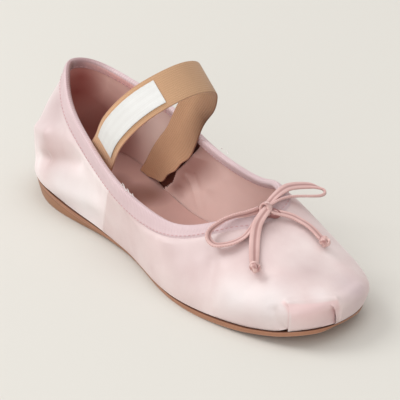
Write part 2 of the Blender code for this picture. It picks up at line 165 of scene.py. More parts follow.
def axesOf(tree, source, label):
    split = tree.nodes.new("ShaderNodeSeparateXYZ")
    tree.links.new(source.outputs[label], split.inputs[0])
    return split.outputs


def rampAlong(tree, axes, axis, start, end):
    # ramp between two places along an axis of the last, in millimetres
    start, end = (toWorld((place, place, place))["XYZ".index(axis)] for place in (start, end))
    return ramp(tree, axes[axis], start, end)


def mixColours(tree, amount, under, over):
    mix = tree.nodes.new("ShaderNodeMix")
    mix.data_type = "RGBA"
    for socket, value in ((mix.inputs["Factor"], amount), (mix.inputs[6], under), (mix.inputs[7], over)):
        feed(tree, socket, value)
    return mix.outputs[2]


def makeRibGroup():
    # rows of threads across and along a piece's own UV map, which is in millimetres
    group, given, made = newGroup("threadRows", (
        ("Vector", "NodeSocketVector", None), ("Rib Pitch", "NodeSocketFloat", 1.0),
        ("Cross Pitch", "NodeSocketFloat", 0.6), ("Cross Share", "NodeSocketFloat", 0.3),
    ), (("Height", "NodeSocketFloat"),))
    axes = axesOf(group, given, "Vector")
    waves = []
    for axis, pitch in (("X", "Rib Pitch"), ("Y", "Cross Pitch")):
        turns = mathNode(group, "DIVIDE", axes[axis], given.outputs[pitch])
        angle = mathNode(group, "MULTIPLY", turns, 2 * math.pi)
        waves.append(mathNode(group, "MULTIPLY", mathNode(group, "SINE", angle), 0.5))
    cross = mathNode(group, "MULTIPLY", waves[1], given.outputs["Cross Share"])
    group.links.new(mathNode(group, "ADD", waves[0], cross), made.inputs["Height"])
    return group


def makeMottleGroup():
    # soft unevenness of a dyed surface: a colour between two others
    group, given, made = newGroup("mottle", (
        ("Vector", "NodeSocketVector", None), ("Scale", "NodeSocketFloat", 60.0),
        ("Contrast", "NodeSocketFloat", 1.5), ("Light", "NodeSocketColor", (1, 1, 1, 1)),
        ("Dark", "NodeSocketColor", (0, 0, 0, 1)),
    ), (("Color", "NodeSocketColor"),))
    cloud = group.nodes.new("ShaderNodeTexNoise")
    cloud.inputs["Detail"].default_value = 4.0
    group.links.new(given.outputs["Vector"], cloud.inputs["Vector"])
    group.links.new(given.outputs["Scale"], cloud.inputs["Scale"])
    spread = mathNode(group, "MULTIPLY", mathNode(group, "SUBTRACT", cloud.outputs["Fac"], 0.5),
                      given.outputs["Contrast"])
    mask = clamped(group, mathNode(group, "ADD", spread, 0.5))
    colour = mixColours(group, mask, given.outputs["Dark"], given.outputs["Light"])
    group.links.new(colour, made.inputs["Color"])
    return group


ribGroup = makeRibGroup()
mottleGroup = makeMottleGroup()


def startMaterial(name, light, dark, roughness, mottleScale=60.0, contrast=1.5, **shaderValues):
    # mottled colour on a Principled shader; returns what later steps add to
    material = bpy.data.materials.new(name)
    material.use_nodes = True
    tree = material.node_tree
    shader = tree.nodes["Principled BSDF"]
    shader.inputs["Roughness"].default_value = roughness
    for label, value in shaderValues.items():
        shader.inputs[label].default_value = value
    coords = tree.nodes.new("ShaderNodeTexCoord")
    mottle = tree.nodes.new("ShaderNodeGroup")
    mottle.node_tree = mottleGroup
    for label, value in (("Scale", mottleScale), ("Contrast", contrast), ("Light", (*light, 1.0)),
                         ("Dark", (*dark, 1.0)), ("Vector", coords.outputs["Object"])):
        feed(tree, mottle.inputs[label], value)
    tree.links.new(mottle.outputs["Color"], shader.inputs["Base Color"])
    return material, tree, shader, coords


def addBump(tree, shader, height, distance):
    # bumps stack: the newest feeds the shader and takes the one before as its base
    bump = tree.nodes.new("ShaderNodeBump")
    bump.inputs["Distance"].default_value = distance
    bump.inputs["Strength"].default_value = 1.0
    if shader.inputs["Normal"].is_linked:
        tree.links.new(shader.inputs["Normal"].links[0].from_socket, bump.inputs["Normal"])
    tree.links.new(height, bump.inputs["Height"])
    tree.links.new(bump.outputs["Normal"], shader.inputs["Normal"])


def addThreads(tree, shader, coords, rib, cross, crossShare, distance, colour, share):
    # raised rows of thread, with painted shade in the hollows between them
    rows = tree.nodes.new("ShaderNodeGroup")
    rows.node_tree = ribGroup
    for label, value in (("Rib Pitch", rib), ("Cross Pitch", cross), ("Cross Share", crossShare),
                         ("Vector", coords.outputs["UV"])):
        feed(tree, rows.inputs[label], value)
    height = rows.outputs["Height"]
    addBump(tree, shader, height, distance)
    tintBy(tree, shader, mathNode(tree, "SUBTRACT", 0.5, height), colour, share)


def addGrain(tree, shader, coords, scale, distance, detail=3.0):
    grain = tree.nodes.new("ShaderNodeTexNoise")
    grain.inputs["Scale"].default_value = scale
    grain.inputs["Detail"].default_value = detail
    tree.links.new(coords.outputs["Object"], grain.inputs["Vector"])
    addBump(tree, shader, grain.outputs["Fac"], distance)


def tintBy(tree, shader, mask, colour, share):
    # mixes another colour over the base where the mask is high
    base = shader.inputs["Base Color"]
    amount = mathNode(tree, "MULTIPLY", mask, share)
    tree.links.new(mixColours(tree, amount, base.links[0].from_socket, (*colour, 1.0)), base)


def tintPlaces(tree, shader, coords, tints):
    # each tint is a place, how far it fades out from there in millimetres, its colour and its share
    for place, reach, colour, share in tints:
        away = tree.nodes.new("ShaderNodeVectorMath")
        away.operation = "DISTANCE"
        tree.links.new(coords.outputs["Object"], away.inputs[0])
        away.inputs[1].default_value = toWorld(place)
        tintBy(tree, shader, ramp(tree, away.outputs["Value"], reach * 0.001, 0.0), colour, share)


def insideBox(tree, coords, sides):
    # mask that is 1 inside a box and fades over its sides' own widths; sides are (axis, place, fade) in
    # millimetres, and a fade below zero faces the other way
    axes = axesOf(tree, coords, "Object")
    return product(tree, *(rampAlong(tree, axes, axis, place, place + fade) for axis, place, fade in sides))


def makeSatin(name, light, dark, tints, panel=None):
    material, tree, shader, coords = startMaterial(
        name, light, dark, roughness=0.50, mottleScale=40.0, contrast=2.6,
        **{"Sheen Weight": 0.4, "Sheen Roughness": 0.35, "Sheen Tint": (1.0, 0.95, 0.94, 1.0),
           "Specular IOR Level": 1.0})
    tintPlaces(tree, shader, coords, tints)
    if panel:
        sides, colour, share = panel
        tintBy(tree, shader, insideBox(tree, coords, sides), colour, share)
    addGrain(tree, shader, coords, 1300.0, 0.00003, 2.0)
    return material


def makeCordSatin():
    # flat string with painted shade in the groove down both faces, where its sides were folded in, and stitch
    # dots along both edges
    material, tree, shader, coords = startMaterial(
        "drawstring satin", (0.71, 0.47, 0.44), (0.60, 0.365, 0.34), 0.40, 120.0,
        **{"Sheen Weight": 0.35, "Sheen Roughness": 0.35})
    dotTurns, twillRound, twillAlong = 5.2, 25.0, 9.0        # radians: along, round and along the string
    axes = axesOf(tree, coords, "UV")          # X once round the string, Y millimetres along it
    wave = mathNode(tree, "COSINE", mathNode(tree, "MULTIPLY", axes["X"], 4 * math.pi))
    tintBy(tree, shader, ramp(tree, wave, -0.90, -1.0), (0.30, 0.13, 0.12), 0.7)
    edge = mathNode(tree, "MAXIMUM", mathNode(tree, "SUBTRACT", wave, 0.55), 0.0)
    dots = mathNode(tree, "SINE", mathNode(tree, "MULTIPLY", axes["Y"], dotTurns))
    tintBy(tree, shader, product(tree, edge, mathNode(tree, "MAXIMUM", dots, 0.0)), (0.40, 0.20, 0.18), 1.0)
    twill = mathNode(tree, "ADD", mathNode(tree, "MULTIPLY", axes["X"], twillRound),
                     mathNode(tree, "MULTIPLY", axes["Y"], twillAlong))
    addBump(tree, shader, mathNode(tree, "SINE", twill), 0.00004)
    return material


def makeBindingMaterial():
    material, tree, shader, coords = startMaterial(
        "ribbed ribbon", (0.71, 0.55, 0.56), (0.64, 0.475, 0.49), 0.55, 60.0, **{"Sheen Weight": 0.2})
    addThreads(tree, shader, coords, rib=1.25, cross=0.5, crossShare=0.1, distance=0.00014,
               colour=(0.54, 0.37, 0.40), share=0.34)
    # inside the collar, painted shade darkens it round the heel, and painted light makes it lighter and
    # pinker along the inner side; the second axis of its UV map runs from its outer edge over the collar,
    # whose rim is near 15
    axes, over = axesOf(tree, coords, "Object"), axesOf(tree, coords, "UV")["Y"]
    outer = product(tree, rampAlong(tree, axes, "Y", 1.5, -2.5), rampAlong(tree, axes, "X", 57.8, 27.8))
    inner = product(tree, rampAlong(tree, axes, "Y", -2.5, 1.5), rampAlong(tree, axes, "X", 27.8, 13.8))
    pinker = product(tree, rampAlong(tree, axes, "Y", 3.5, 7.5), rampAlong(tree, axes, "X", 9.8, 27.8),
                     rampAlong(tree, axes, "X", 67.8, 47.8))
    for start, end, part, colour in ((13.3, 14.1, inner, (0.35, 0.20, 0.205)),
                                     (13.4, 14.2, outer, (0.34, 0.20, 0.20)),
                                     (14.9, 15.6, outer, (0.22, 0.09, 0.08)),
                                     (17.3, 18.3, pinker, (0.98, 0.56, 0.53))):
        tintBy(tree, shader, product(tree, ramp(tree, over, start, end), part), colour, 0.9)
    return material


def makeLiningMaterial():
    # painted shade deepens the colour toward the heel, most low down, and in the slot behind the strap's
    # foot; two paler patches on the inner wall are painted light
    material, tree, shader, coords = startMaterial(
        "lining", (0.90, 0.69, 0.64), (0.83, 0.60, 0.55), 0.6, 35.0, **{"Sheen Weight": 0.1})
    axes = axesOf(tree, coords, "Object")
    back, low = rampAlong(tree, axes, "X", 41.8, 11.8), rampAlong(tree, axes, "Z", 52.0, 22.0)
    tintBy(tree, shader, back, (0.68, 0.33, 0.29), 0.85)
    tintBy(tree, shader, product(tree, low, back), (0.24, 0.065, 0.05), 0.8)
    # colours of the painted shade in the heel and in the slot
    heelShadeColour, slotShadeColour = (0.36, 0.10, 0.085), (0.34, 0.165, 0.14)
    slot = (((72.5, 21.8, 12.5), 8.0), ((76.0, 22.0, 15.0), 8.0), ((78.5, 22.4, 20.0), 9.0),
            ((81.5, 22.4, 25.5), 12.0), ((86.0, 23.0, 30.5), 15.0), ((90.0, 24.0, 36.0), 17.0),
            ((95.5, 24.8, 41.5), 18.0))
    # the first two tints are painted light on the inner wall, the rest painted shade
    tintPlaces(tree, shader, coords, (
        ((50.0, 27.0, 29.0), 26.0, (1.0, 0.82, 0.75), 1.0),
        ((25.0, 17.5, 50.0), 20.0, (1.0, 0.69, 0.62), 1.5),
        ((8.0, 7.0, 55.0), 15.0, heelShadeColour, 1.0),
        ((5.0, 7.0, 45.0), 14.0, heelShadeColour, 1.0),
        *((place, reach, slotShadeColour, 0.6) for place, reach in slot)))
    addGrain(tree, shader, coords, 1400.0, 0.00005)
    return material


def makeInsoleMaterial():
    # painted shadow of the outer collar and the strap, darkest below the outer collar
    material, tree, shader, coords = startMaterial(
        "sock leather", (0.62, 0.385, 0.345), (0.55, 0.33, 0.295), 0.5, 25.0)
    paintedShadowColour = (0.24, 0.105, 0.08)
    tintPlaces(tree, shader, coords, (
        ((60.0, 1.0, 11.0), 16.0, paintedShadowColour, 1.4),
        ((64.0, 12.0, 11.0), 14.0, paintedShadowColour, 1.1),
        ((45.0, 4.0, 12.0), 10.0, paintedShadowColour, 0.9)))
    addGrain(tree, shader, coords, 1100.0, 0.00006)
    return material


def makeElasticMaterial():
    material, tree, shader, coords = startMaterial(
        "woven elastic", (0.68, 0.40, 0.225), (0.61, 0.345, 0.185), 0.8, 70.0, **{"Sheen Weight": 0.2})
    addThreads(tree, shader, coords, rib=0.9, cross=1.15, crossShare=1.3, distance=0.00007,
               colour=(0.42, 0.23, 0.12), share=0.22)
    axes = axesOf(tree, coords, "UV")          # millimetres along the band and across it
    # painted shade along both rounded edges of the band
    fromMiddle = mathNode(tree, "ABSOLUTE", mathNode(tree, "SUBTRACT", axes["Y"], 9.5))
    tintBy(tree, shader, ramp(tree, fromMiddle, 9.0, 9.5), (0.36, 0.14, 0.09), 0.75)
    # darker over the top of the arch, and painted shade where its front edge turns down
    for along, reach, colour in ((108.0, 42.0, (0.42, 0.245, 0.135)), (144.0, 34.0, (0.12, 0.04, 0.01))):
        away = mathNode(tree, "ABSOLUTE", mathNode(tree, "SUBTRACT", axes["X"], along))
        front = 1.0 if along < 120.0 else ramp(tree, axes["Y"], 7.5, 19.0)
        tintBy(tree, shader, product(tree, ramp(tree, away, reach, 0.0), front), colour, 1.0)
    return material


def makeLabelMaterial():
    material, tree, shader, coords = startMaterial(
        "woven label", (0.78, 0.78, 0.765), (0.72, 0.715, 0.70), 0.7, 120.0)
    addThreads(tree, shader, coords, rib=0.6, cross=0.8, crossShare=0.9, distance=0.00005,
               colour=(0.58, 0.56, 0.54), share=0.18)
    return material


def makeSoleMaterial(name, tan, lineColour, lineEnd, paleColour, paleStart):
    # stacked edge: dark line at the top, tan leather, paler where it was cut; v of the UV map runs down it
    material, tree, shader, coords = startMaterial(name, tan, tuple(0.8 * c for c in tan), 0.5, 90.0)
    down = axesOf(tree, coords, "UV")["Y"]
    for low, high, colour in ((-0.4, lineEnd, lineColour), (paleStart, 1.4, paleColour)):
        above, below = mathNode(tree, "GREATER_THAN", down, low), mathNode(tree, "LESS_THAN", down, high)
        tintBy(tree, shader, product(tree, above, below), colour, 0.9)
    addGrain(tree, shader, coords, 700.0, 0.00008)
    return material


# tints on the front satin: the darker ones are painted shade, the paler, whiter ones painted highlights
upperSatin = makeSatin("upper satin", (0.755, 0.635, 0.62), (0.635, 0.475, 0.465), (
    ((122.0, -32.0, 24.0), 42.0, (0.62, 0.455, 0.45), 0.5),
    ((150.0, -34.0, 34.0), 26.0, (0.58, 0.42, 0.41), 0.5),
    ((184.0, -16.0, 40.0), 24.0, (0.52, 0.36, 0.355), 0.7),
    ((168.0, -31.0, 26.0), 26.0, (0.55, 0.41, 0.405), 0.75),
    ((156.0, -33.0, 25.0), 13.0, (0.55, 0.41, 0.405), 0.4),
    ((214.0, 2.0, 28.0), 16.0, (0.52, 0.39, 0.385), 0.7),
    ((231.0, 17.0, 19.0), 15.0, (0.56, 0.43, 0.45), 0.8),
    ((148.0, -31.0, 31.0), 12.0, (0.52, 0.39, 0.385), 0.6),
    ((167.0, -28.0, 32.0), 12.0, (0.52, 0.39, 0.385), 0.6),
    ((231.0, -4.0, 23.0), 8.0, (0.84, 0.78, 0.78), 0.4),
    ((218.0, -26.0, 22.0), 20.0, (0.62, 0.565, 0.56), 0.9),
    ((200.0, -33.0, 18.0), 16.0, (0.69, 0.635, 0.63), 0.8)),
    # painted shade on the toe's front face, between its pleats
    ((("X", 222.0, 2.0), ("Y", -21.2, 1.0), ("Y", 3.3, -1.5), ("Z", 22.5, -0.8), ("Z", 9.0, 9.0)),
     (0.70, 0.455, 0.45), 0.6))
# quarter satin: its paler colour is painted sheen; its dark tints are painted shade high on the heel and in
# the hollow under the slack fold, and its pale tints painted highlights low on the heel
quarterSatin = makeSatin("quarter satin", (0.86, 0.76, 0.755), (0.74, 0.61, 0.605), (
    ((27.0, -19.0, 53.0), 31.0, (0.50, 0.36, 0.365), 0.85),
    ((34.0, -29.0, 30.0), 16.0, (0.48, 0.30, 0.285), 0.85),
    ((46.0, -29.0, 36.0), 15.0, (0.54, 0.37, 0.36), 0.7),
    ((49.0, -29.0, 17.0), 17.0, (0.75, 0.695, 0.695), 0.8),
    ((68.0, -30.0, 17.0), 18.0, (0.81, 0.76, 0.76), 0.9)))
cordSatin = makeCordSatin()
knotSatin = startMaterial("knot satin", (0.78, 0.54, 0.50), (0.34, 0.15, 0.14), roughness=0.45,
                          mottleScale=330.0, contrast=3.2, **{"Sheen Weight": 0.3})[0]
# dark satin for the wrap under the knot: painted shade
knotShadeSatin = startMaterial("knot painted shade", (0.36, 0.16, 0.15), (0.22, 0.08, 0.075), 0.5, 200.0)[0]
bindingRibbon = makeBindingMaterial()
liningCloth = makeLiningMaterial()
# near-black lining for the slot under the strap's foot: painted shade
liningShadeUnderStrap = startMaterial("lining shade under the strap", (0.16, 0.045, 0.03), (0.12, 0.03, 0.02), 0.7)[0]
sockLeather = makeInsoleMaterial()
wovenElastic = makeElasticMaterial()
labelWeave = makeLabelMaterial()
soleLeather = makeSoleMaterial("sole leather", (0.43, 0.20, 0.115), (0.13, 0.045, 0.022), 0.07,
                               (0.50, 0.27, 0.18), 0.74)
heelLeather = makeSoleMaterial("heel leather", (0.40, 0.19, 0.10), (0.25, 0.11, 0.06), 0.06,
                               (0.37, 0.20, 0.125), 0.8)
threadMaterial = startMaterial("thread", (0.60, 0.34, 0.35), (0.54, 0.30, 0.31), 0.6)[0]
looseThread = startMaterial("loose thread", (0.88, 0.85, 0.84), (0.82, 0.79, 0.78), 0.6)[0]
print("materials made")

# Grids bent into shape


def gridPiece(name, columns, rows, place, material, replaces=(), uvPlace=None, sharp=40.0):
    # a flat grid whose every point goes where place(u, v) puts it, in millimetres; touching edges are
    # joined, and uvPlace gives the cloth's own coordinates, in millimetres too
    work = bmesh.new()
    work.loops.layers.uv.new("UVMap")
    bmesh.ops.create_grid(work, x_segments=columns, y_segments=rows, size=0.5, calc_uvs=True)
    flat = np.array([v.co for v in work.verts]) + 0.5
    for vert, point in zip(work.verts, toWorld(place(flat[:, 0], flat[:, 1]))):
        vert.co = point
    if uvPlace:
        layer = work.loops.layers.uv["UVMap"]
        corners = [loop[layer] for face in work.faces for loop in face.loops]
        spread = np.array([corner.uv for corner in corners])
        for corner, uv in zip(corners, uvPlace(spread[:, 0], spread[:, 1]).T):
            corner.uv = uv
    edge = [v for v in work.verts if v.is_boundary]
    bmesh.ops.remove_doubles(work, verts=edge, dist=2e-6)
    bmesh.ops.recalc_face_normals(work, faces=work.faces)
    return finishPiece(name, work, material, replaces, sharp)


def finishPiece(name, work, material, replaces=(), sharp=40.0):
    mesh = bpy.data.meshes.new(name)
    work.to_mesh(mesh)
    work.free()
    mesh.shade_smooth()
    mesh.set_sharp_from_angle(angle=math.radians(sharp))
    mesh.materials.append(material)
    piece = addObject(name, mesh)
    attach(piece, "root")
    if replaces:
        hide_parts(*replaces)
    return piece


def runAlong(points):
    # how far along a line of points each of them is
    return np.concatenate([[0.0], np.cumsum(np.linalg.norm(np.diff(points, axis=0), axis=1))])


def rowsAt(at, run, rows):
    # rows of values between those given at the distances in run
    return np.stack([np.interp(at, run, column) for column in rows.T], axis=-1)


def smoothRoute(route, spacing):
    # evenly spaced points on a smooth open curve through rows of any width, and its length
    points = np.array(route, float)
    ends = np.vstack([2 * points[0] - points[1], points, 2 * points[-1] - points[-2]])
    dense = []
    for before, start, end, after in zip(ends, ends[1:], ends[2:], ends[3:]):
        for t in np.linspace(0.0, 1.0, 24, endpoint=False):
            dense.append(0.5 * (2 * start + (end - before) * t
                                + (2 * before - 5 * start + 4 * end - after) * t ** 2
                                + (3 * start - before - 3 * end + after) * t ** 3))
    dense = np.array(dense + [ends[-2]])
    run = runAlong(dense[:, :3])
    even = np.linspace(0.0, run[-1], max(3, round(run[-1] / spacing) + 1))
    return rowsAt(even, run, dense), run[-1]


def flattened(wave, power):
    # a sine or cosine with broader crests, nearly a square wave where the power is near 0
    return np.sign(wave) * np.abs(wave) ** power


def clothNoise(points, scale, seed):
    # one value from -1 to 1 for each point
    return np.array([noise.noise(Vector(p) * scale + Vector((seed, 0.0, 0.0))) for p in points])


def swells(points, broad, fine):
    # broad swells with smaller ones over them; each is its waves per millimetre and its seed
    return clothNoise(points, *broad) + 0.35 * clothNoise(points, *fine)


def ruffles(first, second, seed):
    # noise over two numbers that count waves, such as round a piece and down it
    return clothNoise(np.column_stack([first, second, first * 0]), 1.0, seed)


# Drawstring

string = {
    "width": 4.2,
    "thickness": 1.4,
    "groove": 0.30,          # depth of the line down its middle
    "grooveReach": 0.13,     # as a share of its half width
    "wrapHalf": 0.8,         # half thickness of the string in a knot
    "wrapGroove": 0.25,
    "wrapGrooveReach": 0.4,
    "up": (0.42, -0.12, 0.90),      # where its flat side faces at a turn of 0
    "columns": 24,           # round its section
    "step": 0.6,
}

# Rows are x, y, z, the turn of the string's flat side in degrees, and its width there.
outerLoopRoute = (
    (172.0, 3.6, 43.6, 0, 4.0), (173.1, 2.0, 44.5, 20, 4.0), (173.3, -0.6, 44.7, 60, 4.0),
    (171.8, -5.3, 44.1, 90, 4.0), (170.2, -9.5, 43.7, 98, 4.0), (168.8, -13.2, 42.8, 98, 4.0),
    (167.7, -16.5, 41.5, 92, 4.0), (166.8, -22.2, 38.5, 78, 4.0), (168.5, -25.1, 36.3, 40, 4.0),
    (171.3, -25.8, 34.5, 18, 4.0), (174.8, -24.6, 33.7, 21, 4.0), (179.5, -19.9, 35.1, 26, 4.0),
    (181.4, -13.7, 37.2, 36, 4.0), (180.6, -8.6, 39.8, 46, 4.0), (178.5, -4.4, 41.9, 52, 4.0),
    (176.4, 0.8, 44.6, 45, 4.0), (175.6, 2.9, 45.8, 28, 4.0), (176.0, 4.5, 46.5, 14, 4.0),
    (177.3, 4.4, 46.7, 4, 4.2), (178.5, 2.2, 46.2, 0, 4.4), (179.7, -0.8, 44.9, 0, 4.8),
    (181.2, -4.4, 42.8, 0, 5.2), (183.8, -7.7, 40.2, 0, 5.4),
    (188.5, -11.8, 36.8, 0, 5.4), (193.3, -15.4, 33.8, 5, 5.3), (196.8, -17.9, 31.6, 10, 4.8),
    (198.9, -19.3, 30.9, 10, 4.0),
)
innerLoopRoute = (
    (172.0, 5.2, 43.9, 0, 4.0), (172.9, 6.4, 45.6, 10, 4.0), (173.2, 8.5, 47.2, 10, 4.0),
    (172.0, 12.1, 48.6, 10, 4.0), (169.9, 19.4, 50.0, 0, 4.6), (169.1, 26.0, 49.5, 0, 4.6),
    (170.1, 34.1, 47.9, 10, 4.4), (172.7, 37.3, 47.0, 36, 3.5), (175.4, 39.0, 46.4, 56, 3.0),
    (177.6, 38.4, 45.7, 84, 2.8), (178.3, 36.2, 45.3, 112, 3.1), (177.9, 33.6, 45.4, 125, 3.6),
    (176.8, 30.0, 45.9, 128, 4.0),
    (174.9, 23.4, 46.9, 128, 4.0), (174.2, 17.5, 47.5, 120, 4.0), (174.2, 12.5, 47.2, 115, 4.0),
    (175.0, 8.6, 46.5, 108, 4.0), (176.2, 6.2, 45.7, 75, 4.0), (177.9, 5.6, 45.0, 40, 3.9),
    (179.6, 7.1, 44.4, 12, 3.8),
    (181.6, 10.4, 43.6, 0, 3.5), (184.4, 13.5, 42.5, 0, 3.5), (187.8, 16.0, 40.9, 5, 3.5),
    (191.8, 18.0, 39.2, 10, 3.5), (195.6, 18.9, 37.5, 10, 3.5), (199.4, 19.2, 35.9, 10, 3.5),
    (201.8, 19.3, 35.0, 10, 3.2),
)
knotPlace = (176.3, 4.0, 45.6)
outerEndPlace = (199.9, -20.0, 30.7)
innerEndPlace = (203.0, 19.3, 34.7)


def stringSection(angle):
    # across as a share of the half width, and half thickness of the flat string, grooved down both faces
    across = flattened(np.cos(angle), 0.65)
    face = flattened(np.sin(angle), 0.6) * string["thickness"] / 2
    face = face - np.sign(face) * string["groove"] * np.exp(-(across / string["grooveReach"]) ** 2)
    return across, face


def alongString(centre, turns, widths, angle, index, closing):
    # point of the section at `angle` on the route's point `index`
    tangent = unit(np.gradient(centre, axis=0))
    side = unit(np.cross(tangent, np.array(string["up"])))
    face = np.cross(side, tangent)
    lean = np.radians(turns)[:, None]
    side, face = side * np.cos(lean) + face * np.sin(lean), face * np.cos(lean) - side * np.sin(lean)
    across, high = stringSection(angle)
    return (centre[index] + side[index] * (across * widths[index] / 2 * closing)[:, None]
            + face[index] * (high * closing)[:, None])


def makeString(name, route, nodes):
    even, length = smoothRoute(route, string["step"])
    centre, turns, widths = even[:, :3], even[:, 3], even[:, 4]
    steps = len(centre) - 1

    def place(u, v):
        index = np.rint(v * steps).astype(int)
        closing = np.where((index == 0) | (index == steps), 0.02, 1.0)   # drawn shut at both ends
        return alongString(centre, turns, widths, u * 2 * math.pi, index, closing)

    piece = gridPiece(name, string["columns"], steps, place, cordSatin, nodes,
                      uvPlace=lambda u, v: np.stack([u, v * length]), sharp=60.0)
    return piece, toWorld(centre), length


def ringKnot(name, node, centre, loops, width, material):
    # turns of string pulled tight round each other; each loop is (radii, axis, offset)
    work = bmesh.new()
    for radii, axis, offset in loops:
        axis = unit(np.array(axis, float))
        first = unit(np.cross(axis, (0.0, 0.3, 1.0)))
        second = np.cross(axis, first)
        made = bmesh.ops.create_grid(work, x_segments=20, y_segments=40, size=0.5)["verts"]
        flat = np.array([v.co for v in made]) + 0.5
        along, around = flat[:, 1:2] * 2 * math.pi, flat[:, 0] * 2 * math.pi
        out = np.cos(along) * first + np.sin(along) * second
        core = np.cos(along) * first * radii[0] + np.sin(along) * second * radii[1]
        across = np.cos(around)[:, None] * width / 2
        groove = string["wrapGroove"] * np.exp(-(np.cos(around)[:, None] / string["wrapGrooveReach"]) ** 2)
        high = np.sin(around)[:, None] * string["wrapHalf"] - groove
        points = np.array(centre) + np.array(offset) + core + axis * across + out * high
        for vert, point in zip(made, toWorld(points)):
            vert.co = point
    bmesh.ops.remove_doubles(work, verts=work.verts, dist=2e-6)
    bmesh.ops.recalc_face_normals(work, faces=work.faces)
    return finishPiece(name, work, material, node, 60.0)


bowKnot = ringKnot("bow_knot_wraps", ("bow_knot",), knotPlace, (
    ((2.5, 2.8), (0.35, -0.9, 0.1), (-0.2, -0.3, 0.4)),
    ((2.2, 2.4), (0.75, 0.55, 0.2), (0.6, 0.7, -0.5)),
), 3.2, knotSatin)
# a dark wrap under the knot stands for the shade there: painted shade
knotShadeWrap = ringKnot("bow_knot_painted_shade", (), knotPlace, (
    ((3.9, 1.8), (0.5, -0.2, 0.85), (1.8, 2.0, -1.7)),
), 3.0, knotShadeSatin)
endWraps = (
    ((1.8, 2.0), (0.75, -0.55, -0.35), (-0.5, 0.3, 0.2)),
    ((1.6, 1.8), (0.2, 0.9, 0.3), (0.7, -0.5, -0.3)),
    ((1.2, 1.5), (0.3, -0.4, 0.9), (1.4, 0.6, -0.2)),
)
outerEnd = ringKnot("bow_end_outer", ("bow_end_lateral",), outerEndPlace, endWraps, 2.6, knotSatin)
innerEnd = ringKnot("bow_end_inner", ("bow_end_medial",), innerEndPlace, endWraps, 2.5, knotSatin)

outerString, outerPath, outerLength = makeString(
    "drawstring_outer", outerLoopRoute, ("bow_loop_lateral", "bow_tail_lateral"))
innerString, innerPath, innerLength = makeString(
    "drawstring_inner", innerLoopRoute, ("bow_loop_medial", "bow_tail_medial"))
print("drawstring tied", round(outerLength), round(innerLength))

# The last, which every soft piece is laid on

last = {
    "length": 238.0,         # feather line, from heel to toe
    "ballWidth": 78.0,
    "heelHeight": 11.8,
    "instepHeight": 42.0,
    "backHeight": 67.5,
    "gap": 0.3,              # left between pieces that lie on each other
    "wallStand": 2.5,        # how far an upright wall swells out below the collar
}

# Stations round the last, from the heel along the outer side to the toe and back along the inner side:
# along, side, flare, rise, square, lean, drop, top along, top side, top rise
stations = (
    (0.0, 0.0, 8.5, 21.0, 1.0, 0.0, 14.5, 4.5, 1.0, 100),
    (3.0, -23.5, 8.5, 22.0, 1.0, 0.0, 13.5, 7.5, -11.0, 95),
    (12.0, -37.0, 5.5, 19.5, 1.0, 0.0, 12.0, 15.5, -25.0, 67),
    (27.0, -37.0, 4.0, 15.5, 1.0, 0.0, 12.0, 27.5, -35.0, 29),
    (42.0, -37.0, 3.0, 13.0, 1.0, 0.0, 11.0, 40.0, -41.0, -3),
    (57.0, -46.5, 3.0, 12.0, 1.0, 5.0, 9.0, 52.0, -41.0, -24),
    (70.0, -50.0, 2.0, 12.0, 1.0, 25.0, 7.0, 60.0, -35.0, -32),
    (83.0, -43.5, 1.9, 11.2, 1.8, 35.0, 8.5, 66.0, -25.0, -19),
    (93.0, -32.0, 1.8, 10.7, 4.2, 40.0, 10.3, 70.0, -13.0, -4),
    (98.5, -17.0, 2.1, 12.2, 6.0, 44.0, 12.3, 72.0, -5.0, 0),
    (98.5, 14.5, 3.7, 11.7, 6.0, 45.0, 12.3, 72.0, 8.5, 7),
    (93.0, 37.0, 5.7, 10.0, 5.0, 46.0, 9.5, 71.0, 20.5, 20),
    (83.0, 49.0, 5.0, 11.0, 1.8, 40.0, 7.5, 66.5, 29.0, 26),
    (70.0, 50.5, 3.0, 12.5, 1.0, 27.0, 6.5, 60.5, 32.5, 10),
    (57.0, 42.0, 3.0, 12.0, 1.0, 5.0, 8.5, 52.0, 33.0, 6),
    (42.0, 30.0, 3.5, 13.0, 1.0, 0.0, 11.0, 40.5, 33.0, 18),
    (27.0, 30.5, 4.0, 15.0, 1.0, 0.0, 12.0, 27.5, 33.5, 45),
    (12.0, 33.5, 5.0, 18.0, 1.0, 0.0, 13.0, 15.0, 26.0, 72),
    (3.0, 22.0, 7.5, 20.5, 1.0, 0.0, 14.5, 6.5, 15.0, 92),
)

# Side view of the sole, in per cent of the length and of the heel's height: along, top, tread
soleProfile = (
    (-1.0, 100, 74), (12.5, 86, 60), (27.5, 50, 26), (42.0, 25, 2), (50.0, 25, 0), (57.0, 27, 0),
    (72.0, 34, 0), (83.0, 42, 6), (93.0, 57, 29), (101.0, 80, 57),
)


def stationRows():
    rows = np.array(stations, float)
    rows[:, [0, 7]] *= last["length"] / 100
    rows[:, [1, 8]] *= last["ballWidth"] / 100
    rows[:, 5] /= 100
    rows[:, 9] = last["instepHeight"] + rows[:, 9] * (last["backHeight"] - last["instepHeight"]) / 100
    spans = np.linalg.norm(np.roll(rows[:, :2], -1, axis=0) - rows[:, :2], axis=1)
    knots = np.concatenate([[0.0], np.cumsum(spans ** 0.75)])      # keeps the curve even where rows crowd
    count, step = len(rows), np.diff(knots)
    rise = (np.roll(rows, -1, axis=0) - rows) / step[:, None]
    system = np.zeros((count, count))
    for i in range(count):
        system[i, i - 1] = step[i - 1]
        system[i, i] = 2.0 * (step[i - 1] + step[i])
        system[i, (i + 1) % count] = step[i]
    bend = np.linalg.solve(system, 6.0 * (rise - np.roll(rise, 1, axis=0)))
    return rows, knots, bend


ringRows, ringKnots, ringBend = stationRows()


